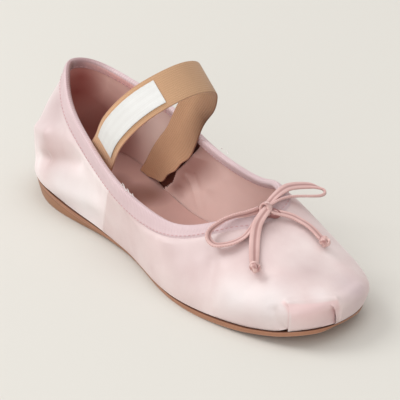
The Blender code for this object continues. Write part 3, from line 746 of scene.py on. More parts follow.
def ringAt(s):
    # station values at the parts s of the way round, on a smooth closed curve
    at = np.mod(s, 1.0) * ringKnots[-1]
    cell = np.clip(np.searchsorted(ringKnots, at, side="right") - 1, 0, len(ringRows) - 1)
    after = (cell + 1) % len(ringRows)
    width = np.diff(ringKnots)[cell][:, None]
    far = (at - ringKnots[cell])[:, None] / width
    near = 1.0 - far
    curve = (near ** 3 - near) * ringBend[cell] + (far ** 3 - far) * ringBend[after]
    return near * ringRows[cell] + far * ringRows[after] + curve * width ** 2 / 6.0


def outwardAt(s):
    tangent = unit(ringAt(s + 0.01)[:, :2] - ringAt(s - 0.01)[:, :2])
    return np.stack([tangent[:, 1], -tangent[:, 0]], axis=1)


def soleHeight(kind, x):
    # height of the sole's top (1) or tread (2), never overshooting the profile's rows
    profile = np.array(soleProfile, float)
    places = profile[:, 0] * last["length"] / 100
    heights = profile[:, kind] * last["heelHeight"] / 100
    step, slope = np.diff(places), np.diff(heights) / np.diff(places)
    tangent = np.zeros(len(places))
    both = slope[:-1] * slope[1:] > 0
    tangent[1:-1][both] = (2 * slope[:-1] * slope[1:])[both] / (slope[:-1] + slope[1:])[both]
    cell = np.clip(np.searchsorted(places, x) - 1, 0, len(step) - 1)
    t = (x - places[cell]) / step[cell]
    start = heights[cell] * (1 + 2 * t) * (1 - t) ** 2 + tangent[cell] * step[cell] * t * (1 - t) ** 2
    end = heights[cell + 1] * t * t * (3 - 2 * t) - tangent[cell + 1] * step[cell] * t * t * (1 - t)
    return start + end


def lastPoint(s, t):
    # point of the upper's outer surface; t is 1 on the collar's edge and 0 on the feather line
    ring, outward = ringAt(s), outwardAt(s)
    foot = np.column_stack([ring[:, 0], ring[:, 1], soleHeight(1, ring[:, 0]) + last["gap"]])
    top = ring[:, [7, 8, 9]]
    shoulder = foot + np.column_stack([outward * ring[:, 2:3], ring[:, 3]])
    below = top.copy()
    spread = last["wallStand"] * np.clip(1.0 - 2.0 * ring[:, 5], 0.0, 1.0)
    below[:, :2] += (foot - top)[:, :2] * ring[:, 5:6] + outward * spread[:, None]
    below[:, 2] -= ring[:, 6]
    t = t[:, None]
    weights = ((1 - t) ** 3, 3 * ring[:, 4:5] * t * (1 - t) ** 2, 3 * t ** 2 * (1 - t), t ** 3)
    return sum(w * c for w, c in zip(weights, (foot, shoulder, below, top))) / sum(weights)


tableColumns, tableRows = 360, 120


def measureLast():
    # for every column: how deep the wall is, and t at even shares of that depth
    depths, shares = [], []
    t = np.linspace(1.0, 0.0, 161)
    for s in np.arange(tableColumns) / tableColumns:
        line = lastPoint(np.full(len(t), s), t)
        run = runAlong(line)
        depths.append(run[-1])
        shares.append(np.interp(np.linspace(0, run[-1], tableRows + 1), run, t))
    return np.array(depths), np.array(shares)


depthTable, shareTable = measureLast()


def wallDepth(s):
    at = np.mod(s, 1.0) * tableColumns
    cell = at.astype(int) % tableColumns
    far = at - np.floor(at)
    return depthTable[cell] * (1 - far) + depthTable[(cell + 1) % tableColumns] * far


def onLast(s, depth):
    # points and outward normals at a distance below the collar's edge
    share = np.clip(depth / wallDepth(s), 0.0, 1.0) * tableRows
    at = np.mod(s, 1.0) * tableColumns
    i, j = at.astype(int) % tableColumns, np.minimum(share.astype(int), tableRows - 1)
    a, b = at - np.floor(at), share - j
    n = (i + 1) % tableColumns
    t = ((shareTable[i, j] * (1 - b) + shareTable[i, j + 1] * b) * (1 - a)
         + (shareTable[n, j] * (1 - b) + shareTable[n, j + 1] * b) * a)
    ds, dt = 0.002, 0.004
    low, high = np.clip(t - dt, 0, 1), np.clip(t + dt, 0, 1)
    down = lastPoint(s, low) - lastPoint(s, high)
    around = lastPoint(s + ds, t) - lastPoint(s - ds, t)
    return lastPoint(s, t), unit(np.cross(down, around))


print("last measured")

# Satin upper

upper = {
    "columns": 560,
    "rows": 96,
    "wall": 1.6,
    "tuck": 0.35,            # drawn in under the binding
    "topDepth": 1.1,
    "bindingDepth": 8.8,
    "release": 3.0,          # below the binding it comes back out over this
    "settle": 4.0,           # and its creases reach their height over this
    "lip": 3.0,              # turned under at the sole
    "lipShare": 0.03,        # and how much of the rows that takes
    "pucker": 0.16,          # height of the gathers below the binding
    "gathers": 160.0,        # round the collar
    "gatherFade": 7.0,
    "unevenness": 0.70,
    "soleHold": 1.5,         # its creases fade out this far above the sole
    "soleFade": 8.0,         # the pull of a thinned sole edge ends this far up
    "innerDrop": 0.5,        # and is this much more at the toe's inner front
}

# Pleats of the toe, where the satin is folded over itself: place round the last, how far up it goes,
# how far it overlaps, how high it stands, the slant of its edge and how far its top end hooks back
toePleats = (
    {"at": 0.4545, "reach": 14.5, "overlap": 1.5, "lift": 1.0, "slant": 0.004, "hook": 0.0,
     "width": 9.0},
    {"at": 0.5025, "reach": 11.5, "overlap": 2.0, "lift": 1.5, "slant": -0.002, "hook": 0.006,
     "width": 12.0},
)
# Section of a pleat: millimetres past its edge, share of the overlap and share of the lift
pleatSection = ((-2.2, 1.2, -0.35), (-0.8, 1.6, -0.75), (0.0, 0.8, -0.35), (0.5, -0.2, 0.8),
                (1.0, -0.8, 1.15), (1.7, -0.8, 1.1), (3.2, -0.4, 0.75))
# Behind the outer pleat the edge stands off the sole
pleatGap = {"from": -6.5, "to": -0.3, "height": 1.1, "fade": 2.5}
ringLength = 630.0           # feather line, nearly

# Soft creases and hollows: from, to, width, height above the smooth form
satinCreases = (
    ((4.0, -19.0, 32.0), (28.0, -26.0, 38.0), 3.6, 1.5),       # slack fold across the heel quarter
    ((28.0, -26.0, 38.0), (60.0, -28.0, 46.0), 4.0, 0.7),
    ((12.0, -26.0, 21.0), (30.0, -30.0, 26.0), 4.2, -2.4),     # and the hollow under it
    ((30.0, -30.0, 26.0), (60.0, -30.0, 35.0), 4.2, -1.9),
    ((14.0, -28.0, 12.0), (80.0, -32.0, 19.0), 5.5, 1.5),      # fuller over the heel seat
    ((56.0, -29.0, 38.0), (82.0, -31.0, 29.0), 5.0, -0.5),
    ((62.0, -30.0, 18.0), (78.0, -30.0, 12.0), 5.0, -0.4),
    ((122.0, -34.0, 29.0), (128.0, -35.0, 25.0), 5.0, 0.45),
    ((104.0, -33.0, 24.0), (131.0, -37.0, 17.0), 6.0, -0.5),
    ((147.0, -33.0, 26.0), (150.0, -33.0, 24.0), 5.0, 0.5),
    ((144.0, -38.0, 15.0), (150.0, -37.0, 18.0), 5.0, -0.45),
    ((159.0, -36.0, 19.0), (160.0, -36.0, 17.0), 4.0, 0.45),
    ((170.0, -32.0, 24.0), (173.0, -37.0, 11.0), 4.5, 0.5),    # upright folds below the outer loop
    ((176.0, -28.0, 27.0), (188.0, -38.0, 7.0), 3.5, -0.75),
    ((186.0, -26.0, 26.0), (200.0, -32.0, 14.0), 5.5, 0.5),
    ((204.0, -16.0, 29.0), (213.0, 14.0, 30.0), 6.5, -0.6),    # dip across the vamp
    ((192.0, 2.0, 36.0), (198.0, 14.0, 35.0), 8.0, 0.4),
    ((214.0, -22.0, 22.0), (228.0, 10.0, 25.0), 4.0, 0.35),
    ((223.0, -25.0, 18.0), (224.0, -26.0, 13.0), 2.4, -0.8),   # beside the outer pleat
    ((236.0, 4.0, 20.0), (229.0, 22.0, 20.5), 2.6, 0.75),      # inner corner of the toe
    ((238.0, 10.0, 13.0), (231.0, 24.0, 13.0), 4.0, -0.45),
    ((226.0, -18.0, 21.0), (235.5, 2.0, 21.5), 2.0, 1.3),      # edge between the toe's top and its front
    ((229.0, -17.0, 16.0), (238.0, 1.0, 16.4), 2.6, -0.8),
    ((235.6, 1.5, 20.0), (237.0, 4.2, 16.5), 0.8, 0.4),        # rims of the two pleats
    ((237.0, 4.2, 16.5), (236.6, 3.6, 10.5), 0.8, 0.35),
    ((223.8, -21.8, 18.0), (229.5, -20.2, 8.0), 0.8, 0.6),
    ((221.5, -24.0, 17.0), (227.0, -23.2, 8.0), 1.8, -0.8),
    ((236.3, 1.0, 17.0), (237.2, 2.8, 10.0), 0.7, -0.5),
    ((230.0, -15.0, 13.0), (237.0, -4.0, 12.0), 3.5, -0.3),
    ((140.0, 34.0, 30.0), (152.0, 38.0, 14.0), 5.0, -0.4),
    ((165.0, 33.0, 30.0), (180.0, 40.0, 14.0), 5.0, 0.4),
    ((38.0, 24.0, 47.0), (33.0, 26.0, 29.0), 5.0, -0.8),
    ((40.0, 27.0, 26.0), (78.0, 27.0, 22.0), 6.5, 0.6),
)

# Side seams: place round the last at the binding, how far that moves per millimetre down, way to the toe
sideSeams = (
    {"at": 0.2043, "slope": -0.00090, "ahead": 1.0},
    {"at": 0.7900, "slope": 0.00085, "ahead": -1.0},
)
seamForm = {"groove": 0.4, "grooveReach": 0.5, "step": 0.5, "stepReach": 0.4, "stepFade": 8.0,
            "reach": 40.0, "bend": 0.035}

# Sole's edge pared round the ball: share of the length, and how much thinner it is there
solePare = ((0.52, 0.0), (0.66, 0.95), (0.88, 0.95), (0.97, 0.0))

# Where the satin begins to fold down over a thin sole at the toe's inner front, and how soon it is full
innerToe = {"along": 222.0, "side": -9.0, "reach": 12.0}

# Binding's depth round the last, as a share: deepest over the waist, narrow across the throat
bindingShares = ((0.0, 0.88), (0.12, 0.85), (0.24, 1.05), (0.31, 0.93), (0.38, 0.77), (0.44, 0.74),
                 (0.54, 0.76), (0.61, 0.90), (0.70, 1.05), (0.88, 0.88))


def pressed(points, creases):
    total = np.zeros(len(points))
    for start, end, width, height in creases:
        start, end = np.array(start), np.array(end)
        way = end - start
        along = np.clip((points - start) @ way / (way @ way), 0.0, 1.0)
        gap = np.linalg.norm(points - start - along[:, None] * way, axis=1)
        total += height * np.exp(-(gap / width) ** 2)
    return total


def alongSeams(s, share):
    # columns near a side seam run down along it
    moved = s.copy()
    for seam in sideSeams:
        below = share * wallDepth(s) - upper["bindingDepth"]
        moved += seam["slope"] * below * np.exp(-((s - seam["at"]) / seamForm["bend"]) ** 2)
    return moved


def seamed(s):
    # a narrow groove along each side seam, and the front panel a cloth's thickness higher
    total = np.zeros(len(s))
    for seam in sideSeams:
        ahead = (s - seam["at"]) * seam["ahead"] * ringLength
        groove = seamForm["groove"] * np.exp(-(ahead / seamForm["grooveReach"]) ** 2)
        step = seamForm["step"] * np.clip(ahead / seamForm["stepReach"], 0, 1)
        fade = np.exp(-np.clip(ahead, 0, None) / seamForm["stepFade"])
        total += np.exp(-(ahead / seamForm["reach"]) ** 2) * (step * fade - groove)
    return total


def pleated(s, height):
    # moves columns round the last and lifts them, so that the cloth folds over itself at each pleat
    q, lift = np.zeros(len(s)), np.zeros(len(s))
    for pleat in toePleats:
        up = np.clip(height / pleat["reach"], 0.0, 1.0)
        edge = pleat["at"] + pleat["slant"] * up - pleat["hook"] * up ** 4
        u = (s - edge) * ringLength
        grip = (1.0 - up ** 3) ** 0.8
        section = ((-pleat["width"], 0.0, 0.0), *pleatSection, (pleat["width"], 0.0, 0.0))
        ways, moves, lifts = np.array(section).T
        inside = np.abs(u) < pleat["width"]
        q += np.where(inside, np.interp(u, ways, moves) * pleat["overlap"] * grip, 0.0)
        lift += np.where(inside, np.interp(u, ways, lifts) * pleat["lift"] * grip, 0.0)
    u = (s - toePleats[0]["at"]) * ringLength
    share = np.clip((u - pleatGap["from"]) / (pleatGap["to"] - pleatGap["from"]), 0.0, 1.0)
    gap = pleatGap["height"] * share ** 1.5 * (u < pleatGap["to"]) * np.exp(-(height / pleatGap["fade"]) ** 2)
    return q / ringLength, lift, gap


def gathered(u, places):
    # columns stand closer together near some places round the last: place, reach, how much closer
    dense = np.linspace(0.0, 1.0, 2001)
    weight = np.ones(len(dense))
    for at, reach, closer in places:
        weight += closer * np.exp(-((dense - at) / reach) ** 2)
    run = np.concatenate([[0.0], np.cumsum((weight[1:] + weight[:-1]) / 2)])
    return np.interp(u, run / run[-1], dense)


def crowded(u):
    # the upper's columns gather at its pleats and seams
    pleats = tuple((pleat["at"], 0.006, 9.0) for pleat in toePleats)
    return gathered(u, pleats + tuple((seam["at"], 0.004, 6.0) for seam in sideSeams))


def bindingLine(s):
    # depth of the binding's lower edge, with the bends between its rows smoothed over
    places, shares = np.array(bindingShares).T
    return upper["bindingDepth"] * np.mean(
        [np.interp(np.mod(s + shift, 1.0), places, shares, period=1.0)
         for shift in (-0.02, -0.01, 0.0, 0.01, 0.02)], axis=0)


def soleThinned(x):
    # the satin comes down with the pared edge
    places, amounts = np.array(solePare).T
    return np.interp(x / last["length"], places, amounts)


def innerFront(x, y):
    along, side = (x - innerToe["along"]) / innerToe["reach"], (y - innerToe["side"]) / innerToe["reach"]
    return np.clip(along, 0, 1) * np.clip(side, 0, 1)


def upperPlace(u, v):
    s = crowded(u)
    past = (1.0 - v) * (1.0 + upper["lipShare"])
    down = np.minimum(past, 1.0)
    placed = alongSeams(s, down)
    whole = wallDepth(placed)
    depth = upper["topDepth"] + down * (whole - upper["topDepth"])
    height = whole - depth
    turnedIn = np.clip(past - 1.0, 0.0, upper["lipShare"]) / upper["lipShare"] * upper["lip"]
    shift, lift, gap = pleated(s, height)
    points, normals = onLast(placed + shift, depth)
    below = np.clip(depth - bindingLine(placed), 0, None)
    drawn = 1.0 - np.clip(below / upper["release"], 0, 1)
    drawn = drawn ** 2 * (3 - 2 * drawn)
    free = np.clip(below / upper["settle"], 0, 1)
    gathers = ruffles(s * upper["gathers"], below * 0.05, 3.0) * np.exp(-below / upper["gatherFade"])
    soft = swells(points, (0.042, 11.0), (0.10, 5.0))
    offset = -drawn * upper["tuck"] + free * (
        upper["pucker"] * gathers + upper["unevenness"] * soft + pressed(points, satinCreases)
        + seamed(s) + lift)
    offset *= np.clip(height / upper["soleHold"], 0.0, 1.0) * 0.85 + 0.15
    points = points + normals * offset[:, None]
    points[:, 2] += gap
    outward = outwardAt(placed)
    lower = soleThinned(points[:, 0]) + upper["innerDrop"] * innerFront(points[:, 0], points[:, 1])
    points[:, 2] -= lower * np.clip(1 - height / upper["soleFade"], 0, 1) ** 2
    points[:, :2] -= outward * turnedIn[:, None]
    return points


upperSatinPiece = gridPiece("upper_satin", upper["columns"], upper["rows"], upperPlace, upperSatin,
                            ("upper",), uvPlace=lambda u, v: np.stack([crowded(u) * ringLength, v * 60.0]),
                            sharp=75.0)
upperSatinPiece.data.materials.append(quarterSatin)
cloth = upperSatinPiece.data.uv_layers[0].data
for face in upperSatinPiece.data.polygons:      # the quarter's satin is cut on another grain; the sheen that gives it is painted into its paler colour
    s = sum(cloth[k].uv.x for k in face.loop_indices) / len(face.loop_indices) / ringLength
    face.material_index = int(not sideSeams[0]["at"] < s < sideSeams[1]["at"])
print("upper draped")

# Lining

lining = {
    "columns": 480,
    "rows": 72,
    "unevenness": 0.25,
    "topDepth": 3.0,
    "footClearance": 0.6,    # left above the feather line
    "settle": 6.0,           # creases begin this far down, and are full this much further
    "foldHeight": 5.0,       # of the fold beside the strap's inner foot
    "foldSteep": 0.8,
    "foldFade": 7.0,
    "underStrap": {"side": 15.0, "top": 49.0, "back": -9.0, "front": -0.45},
    "clothSize": (560.0, 55.0),
}

liningCreases = (
    ((110.0, 30.0, 30.0), (122.0, 36.0, 12.0), 2.2, 0.5),
    ((118.0, 31.0, 30.0), (134.0, 38.0, 12.0), 2.0, -0.45),
    ((96.0, 28.0, 20.0), (120.0, 35.0, 24.0), 2.0, 0.4),
    ((81.5, 27.0, 21.0), (93.5, 26.0, 4.0), 1.5, 2.0),         # creases spreading from the strap's foot
    ((85.5, 27.5, 23.0), (98.0, 27.0, 5.0), 1.8, -1.2),
    ((78.0, 26.0, 11.0), (88.0, 25.5, 4.0), 1.4, 1.2),
    ((86.0, 27.0, 19.0), (108.0, 31.0, 14.0), 2.6, -0.5),
    ((60.0, 29.0, 44.0), (66.0, 28.0, 18.0), 4.0, -0.4),
    ((30.0, 30.0, 50.0), (36.0, 29.0, 20.0), 4.0, 0.4),
)

# Line down the lining in front of the strap's inner foot: along, height, and how far in its fold stands
footLine = ((62.0, 7.0, 21.0), (67.4, 11.5, 21.0), (71.2, 14.5, 21.0), (72.8, 18.0, 21.0), (74.4, 22.0, 21.0),
            (80.7, 28.2, 21.2), (87.4, 35.8, 21.6), (90.8, 42.4, 22.4), (93.6, 49.0, 24.0))


def footFold(points):
    # the lining rises steeply beside the foot, which leaves a dark slot behind it, and falls away softly
    line = np.array(footLine)
    start, stand = (np.interp(points[:, 2], line[:, 1], line[:, k]) for k in (0, 2))
    ahead = points[:, 0] - start
    high = np.clip(points[:, 1] - upper["wall"] - stand, 0, lining["foldHeight"])
    rise = np.clip(ahead / lining["foldSteep"] + 1.0, 0, 1)
    return (points[:, 1] > 0) * high * rise * np.exp(-(np.clip(ahead, 0, None) / lining["foldFade"]) ** 2)


def nearFoot(u):
    # columns of the lining gather at that line
    return gathered(u, ((0.80, 0.03, 6.0),))


def liningPlace(u, v):
    s = nearFoot(u)
    whole = wallDepth(s)
    depth = lining["topDepth"] + (1.0 - v) * (whole - lining["topDepth"] - lining["footClearance"])
    points, normals = onLast(s, depth)
    soft = swells(points, (0.05, 21.0), (0.16, 9.0))
    free = np.clip((depth - lining["settle"]) / lining["settle"], 0, 1)
    hollow = np.clip(-pressed(points, satinCreases), 0, None)      # keeps clear of the satin's hollows
    inward = upper["wall"] + (hollow + lining["unevenness"] * soft + pressed(points, liningCreases)) * free
    inward = inward + footFold(points) * free
    return points - normals * inward[:, None]


liningPiece = gridPiece("lining", lining["columns"], lining["rows"], liningPlace, liningCloth,
                        uvPlace=lambda u, v: np.stack([nearFoot(u) * lining["clothSize"][0],
                                                       v * lining["clothSize"][1]]), sharp=75.0)
liningPiece.data.materials.append(liningShadeUnderStrap)
under = lining["underStrap"]
for face in liningPiece.data.polygons:       # under the strap's foot the lining is painted near black, as shade
    x, y, z = toLast(face.center)
    ahead = x - np.interp(z, [row[1] for row in footLine], [row[0] for row in footLine])
    inPaintedShade = y > under["side"] and z < under["top"] and under["back"] < ahead < under["front"]
    face.material_index = int(inPaintedShade)
print("lining laid")

# Binding round the collar

binding = {
    "columns": 720,
    "rows": 40,
    "tape": 0.6,
    "outside": 8.8,
    "inside": 5.0,
    "channel": 0.20,         # how far the drawstring inside it stands out
    "gather": 0.10,
    "gathers": 150.0,        # round the collar
    "edgeWander": 0.2,       # how far its lower edge strays, and how often
    "edgeWaves": 60.0,
    "clothSize": (470.0, 34.0),
    "stitch": 1.7,           # length of a stitch, and the gap to the next
    "stitchGap": 0.8,
    "stitchThickness": 0.42,
    "stitchFlatness": 0.8,
    "outsideStitches": (0.6, 0.30),      # distance up from the ribbon's edge and out from the last
    "insideStitches": (1.0, -2.95),
}


def bindingSection():
    # out from the last and down from the collar's edge, round the folded ribbon
    outside = binding["tape"] - upper["tuck"]
    contact = -upper["tuck"]
    liningSide = -upper["tuck"] - upper["wall"] - last["gap"]
    inside = liningSide - binding["tape"]
    deep, shallow, channel = binding["outside"], binding["inside"], binding["channel"]
    middle = (outside + inside) / 2
    rows = ((contact - 0.3, deep - 0.2), (outside - 0.4, deep), (outside - 0.1, deep - 0.35),
            (outside, deep - 1.2), (outside, 6.0), (outside + channel * 0.8, 4.4), (outside + channel, 3.2),
            (outside + channel * 0.6, 1.6), (outside - 0.15, 0.5), (middle + 0.7, 0.02),
            (middle - 0.7, 0.02), (inside + 0.15, 0.5), (inside - 0.1, 1.4), (inside - 0.15, 2.4),
            (inside, 3.4), (inside, shallow - 0.5), (inside + 0.3, shallow), (liningSide, shallow - 0.2),
            (liningSide, 3.0), (liningSide, 1.2), (contact, 1.2), (contact, 4.0))
    return np.array(rows)


sectionRows = bindingSection()


def closedCurve(rows, at):
    # points on a smooth closed curve through rows, near enough to their own corners
    count = len(rows)
    place = np.mod(at, 1.0) * count
    cell = place.astype(int) % count
    t = (place - np.floor(place))[:, None]
    before, start, end, after = (rows[(cell + k) % count] for k in (-1, 0, 1, 2))
    return start + 0.5 * t * (end - before + t * (2 * before - 5 * start + 4 * end - after
                                                  + t * (3 * (start - end) + after - before)))


def bindingPlace(u, v):
    section = closedCurve(sectionRows, v)
    depth = np.clip(section[:, 1], 0.0, None)
    outer = (section[:, 0] > -0.4) & (depth > 0.3)
    gathers = ruffles(u * binding["gathers"], depth * 0.12, 7.0)
    edge = binding["edgeWander"] * ruffles(u * binding["edgeWaves"], u * 0, 2.0)
    offset = section[:, 0] + np.where(outer, binding["gather"] * gathers * np.clip(depth / 3, 0, 1), 0.0)
    wider = (bindingLine(u) - upper["bindingDepth"]) * np.clip((depth - 3.0) / 5.0, 0, 1)
    drop = np.where(outer, wider + edge * np.clip(depth - 5.0, 0, 1), 0.0)
    points, normals = onLast(u, depth + drop)
    return points + normals * offset[:, None]


gridPiece("collar_ribbon", binding["columns"], binding["rows"], bindingPlace, bindingRibbon,
          ("collar_binding",), uvPlace=lambda u, v: np.stack([u * binding["clothSize"][0],
                                                              v * binding["clothSize"][1]]), sharp=60.0)


def ringRun(depthAt, offset):
    # points with their outward normals round the collar, and how far along it they are
    s = np.linspace(0.0, 1.0, 1441)
    points, normals = onLast(s, depthAt(s))
    points = points + normals * offset
    return points, normals, runAlong(points)


def makeStitches(name, rings):
    # rows of short threads; each stitch is a flattened bead lying on the cloth
    length, thickness = binding["stitch"], binding["stitchThickness"]
    work = bmesh.new()
    for points, normals, run in rings:
        for start in np.arange(0.0, run[-1] - length, length + binding["stitchGap"]):
            ends = rowsAt(np.array((start, start + length)), run, points)
            face = unit(rowsAt(start + length / 2, run, normals))
            along = ends[1] - ends[0]
            side = np.cross(face, unit(along))
            made = bmesh.ops.create_uvsphere(work, u_segments=6, v_segments=6, radius=0.5)["verts"]
            middle = toWorld((ends[0] + ends[1]) / 2)
            for vert in made:
                x, y, z = vert.co
                place = along * z + side * x * thickness + face * y * thickness * binding["stitchFlatness"]
                vert.co = Vector(middle) + Vector(place * 0.001)
    return finishPiece(name, work, threadMaterial)


outerInset, outerOffset = binding["outsideStitches"]
innerInset, innerOffset = binding["insideStitches"]
makeStitches("binding_stitches", (
    ringRun(lambda s: bindingLine(s) - outerInset, outerOffset),
    ringRun(lambda s: np.full(len(s), binding["inside"] - innerInset), innerOffset)))

# Loose ends of thread at the collar's edge: place round the last, way along, up and out
looseEnds = (
    (0.2330, 1.6, 2.4, 0.9), (0.2375, -1.2, 2.7, 0.7), (0.2420, 2.4, 1.9, 1.5), (0.2470, -0.6, 2.6, 1.2),
    (0.2510, 1.9, 1.8, 1.4), (0.2550, 0.4, 2.4, 1.0), (0.7650, -1.6, 2.2, -0.6), (0.7530, 1.5, 2.0, -0.8),
)


def makeThreads(name, rows):
    thickness = binding["stitchThickness"]
    work = bmesh.new()
    for s, along, rise, out in rows:
        base, normal = onLast(np.array([s]), np.array([0.4]))
        ahead = onLast(np.array([s + 0.004]), np.array([0.4]))[0] - base       # the way round the collar
        way = unit(ahead)[0] * along + np.array([0.0, 0.0, rise]) + normal[0] * out
        bend = np.cross(way, (0.3, 0.2, 0.9)) * 0.3
        side = unit(np.cross(way, normal[0]))
        made = bmesh.ops.create_uvsphere(work, u_segments=6, v_segments=12, radius=0.5)["verts"]
        for vert in made:
            x, y, z = vert.co
            t = z + 0.5
            middle = base[0] + (0.0, 0.0, 1.5) + way * t + bend * 4 * t * (1 - t)      # bowed halfway
            vert.co = toWorld(middle + (side * x + np.cross(side, unit(way)) * y) * thickness)
    return finishPiece(name, work, looseThread)


makeThreads("loose_threads", looseEnds)
print("binding folded and stitched")

# Insole, outsole and heel

sole = {
    "sections": 170,
    "margin": 1.0,
    "waistTuck": 1.0,        # how far the edge goes in under the upper at the waist
    "waistPlace": 0.49,      # shares of the length
    "waistSpan": 0.165,
    "bevel": 0.8,
    "heelStep": 0.9,
    "heelInset": 1.6,
    "heelFront": 93.0,
    "insoleThickness": 1.5,
    "insoleClearance": 0.2,
    "insoleDish": 0.3,
    "outsoleCorner": 0.25,   # how round the edges are
    "heelCorner": 0.2,
    "insoleCorner": 0.3,
    "toePare": 1.1,          # thinned, and drawn in, at the toe's inner front
}


def soleMargin(x, y):
    # how far the outsole stands outside the feather line
    waist = np.exp(-((x / last["length"] - sole["waistPlace"]) / sole["waistSpan"]) ** 2)
    return sole["margin"] - (sole["margin"] + sole["waistTuck"]) * waist - sole["toePare"] * innerFront(x, y)


def halfWidths(edge, x):
    start, end = edge[:, 0].argmin(), edge[:, 0].argmax()
    turned = np.roll(edge, -start, axis=0)
    split = (end - start) % len(edge)
    outer, inner = turned[:split + 1], np.vstack([turned[split:], turned[:1]])[::-1]
    return np.interp(x, outer[:, 0], outer[:, 1]), np.interp(x, inner[:, 0], inner[:, 1])


def makePlate(name, edge, top, bottom, material, node, taper, corner, front=None, crown=0.0,
              pared=0.0):
    # leather cut to an outline, and straight across at its front where that is given; v goes round its
    # section: top, outer side, underside, inner side
    low, high = edge[:, 0].min(), edge[:, 0].max()
    reach, sweep = (high, math.pi) if front is None else (front, math.pi / 2)
    across, down = 12, 8
    shares = np.concatenate([np.linspace(1.0, -1.0, across + 1)[:-1], np.full(down, -1.0),
                             np.linspace(-1.0, 1.0, across + 1)[:-1], np.full(down, 1.0)])
    levels = np.concatenate([np.zeros(across), np.arange(down) / down, np.ones(across),
                             1.0 - np.arange(down) / down])
    count = len(shares)
    shares, levels = np.append(shares, shares[0]), np.append(levels, levels[0])

    def place(u, v):
        x = low + (reach - low) * (1 - np.cos(u * sweep)) / (1 - math.cos(sweep))
        outer, inner = halfWidths(edge, x)
        index = np.rint(v * count).astype(int)
        share, level = shares[index], levels[index]
        rounding = corner * (1 - np.sqrt(np.clip(1 - (2 * np.abs(level - 0.5)) ** 6, 0, 1)))
        narrowed = taper * level + rounding
        centre, half = (outer + inner) / 2, np.clip((inner - outer) / 2, 0, None)
        y = centre + share * np.clip(half - narrowed, 0, None)
        middle = (low + high) / 2
        z = top(x) * (1 - level) + bottom(x) * level + crown * (1 - share ** 2) * (level == 0)
        z += pared * innerFront(x, y) * (level - 0.45)      # off both faces
        return np.column_stack([middle + (x - middle) * (1 - 2 * narrowed / (high - low)), y, z])

    piece = gridPiece(name, sole["sections"], count, place, material, node, sharp=35.0)
    for loop in piece.data.uv_layers[0].data:      # v becomes the way down the edge, below 0 on top
        row = round(loop.uv.y * count)
        loop.uv.y = -0.02 if 0 < row < across else levels[row]


roundSole = np.arange(720) / 720
feather, outward = ringAt(roundSole)[:, :2], outwardAt(roundSole)
outsoleEdge = feather + outward * soleMargin(*feather.T)[:, None]
makePlate("outsole_leather", outsoleEdge, lambda x: soleHeight(1, x) - soleThinned(x),
          lambda x: soleHeight(2, x), soleLeather, ("outsole",), sole["bevel"],
          sole["outsoleCorner"], pared=sole["toePare"])
makePlate("heel_leather", outsoleEdge - outward * sole["heelStep"], lambda x: soleHeight(2, x) - 0.05,
          lambda x: x * 0, heelLeather, ("heel_lift",), sole["heelInset"], sole["heelCorner"],
          front=sole["heelFront"])
makePlate("insole_sock", feather - outward * (upper["wall"] + sole["insoleClearance"]),
          lambda x: soleHeight(1, x) + last["gap"] + sole["insoleThickness"],
          lambda x: soleHeight(1, x) + last["gap"], sockLeather, ("insole",), 0.0,
          sole["insoleCorner"], crown=-sole["insoleDish"])
print("soles cut")

# Elastic strap and its label

strap = {
    "width": 19.0,
    "thickness": 1.2,
    "lean": 34.7,            # degrees that the arch leans forward
    "foot": (41.3, 12.7),    # where its middle stands, along and up
    "steps": 220,
    "unevenness": 0.35,
    "curlFrom": 0.45,        # share of the width past which the front corner curls, and lifts
    "liftFrom": 0.4,
    # Where a soft form is along the band, from 0 at its outer foot to 1 at its inner foot, how far it
    # reaches, and how much wider it makes the band
    "bulge": (0.82, 0.085, 5.5),
    "arch": (0.655, 0.045, 2.3),
    "pinch": (0.825, 0.06, 2.4),
    "outerSpread": (0.13, 0.07, -2.0),
    # Where one that grows toward the inner foot starts, where it is full past that, and its size
    "innerSpread": (0.86, 0.1, 1.6),
    "curl": (0.70, 0.15, 3.0),
    "ripple": (0.78, 0.1, 0.6),
    "rippleTurns": 78.0,
    "cornerLift": (0.93, 0.07, 6.0),
    "clothLength": 205.0,
    "labelLength": 48.5,
    "labelWidth": 13.6,
    "labelThickness": 0.5,
    "labelStart": 57.5,      # along the arch from its outer end
    "labelFray": 0.08,
    "labelThinned": 0.012,   # share of its length that its ends thin out over
}
# Back edge of the band in the plane that it leans in: to the inner side, and up
strapArch = ((-22.6, -6.0), (-22.4, 18.0), (-23.0, 43.0), (-25.3, 67.0), (-16.0, 87.0), (5.0, 98.5),
             (20.5, 93.5), (23.3, 75.0), (22.2, 55.0), (21.6, 36.0), (21.4, 15.0), (21.2, -8.0))


def strapFrame():
    arch, _ = smoothRoute([(y, z, 0.0) for y, z in strapArch], 1.0)
    lean = math.radians(strap["lean"])
    across = np.array([math.cos(lean), 0.0, -math.sin(lean)])
    base = np.array([strap["foot"][0], 0.0, strap["foot"][1]])
    path = (base + arch[:, :1] * np.array([0.0, 1.0, 0.0])
            + arch[:, 1:2] * np.array([math.sin(lean), 0.0, math.cos(lean)]))
    return path, across, unit(np.cross(across, np.gradient(path, axis=0)))


def seatedEdge(path, outward):
    # one edge of the band, cut off at the insole at both ends
    seat = soleHeight(1, path[:, 0]) + 2 * last["gap"] + sole["insoleThickness"]
    inside = np.nonzero(path[:, 2] > seat)[0]
    path, outward = path[inside], outward[inside]
    run = runAlong(path)
    even = np.linspace(0.0, run[-1], strap["steps"] + 1)
    return rowsAt(even, run, path), rowsAt(even, run, outward)


strapPath, strapAcross, strapOutward = strapFrame()
backEdge, backOut = seatedEdge(strapPath, strapOutward)
frontEdge, frontOut = seatedEdge(strapPath + strapAcross * strap["width"], strapOutward)


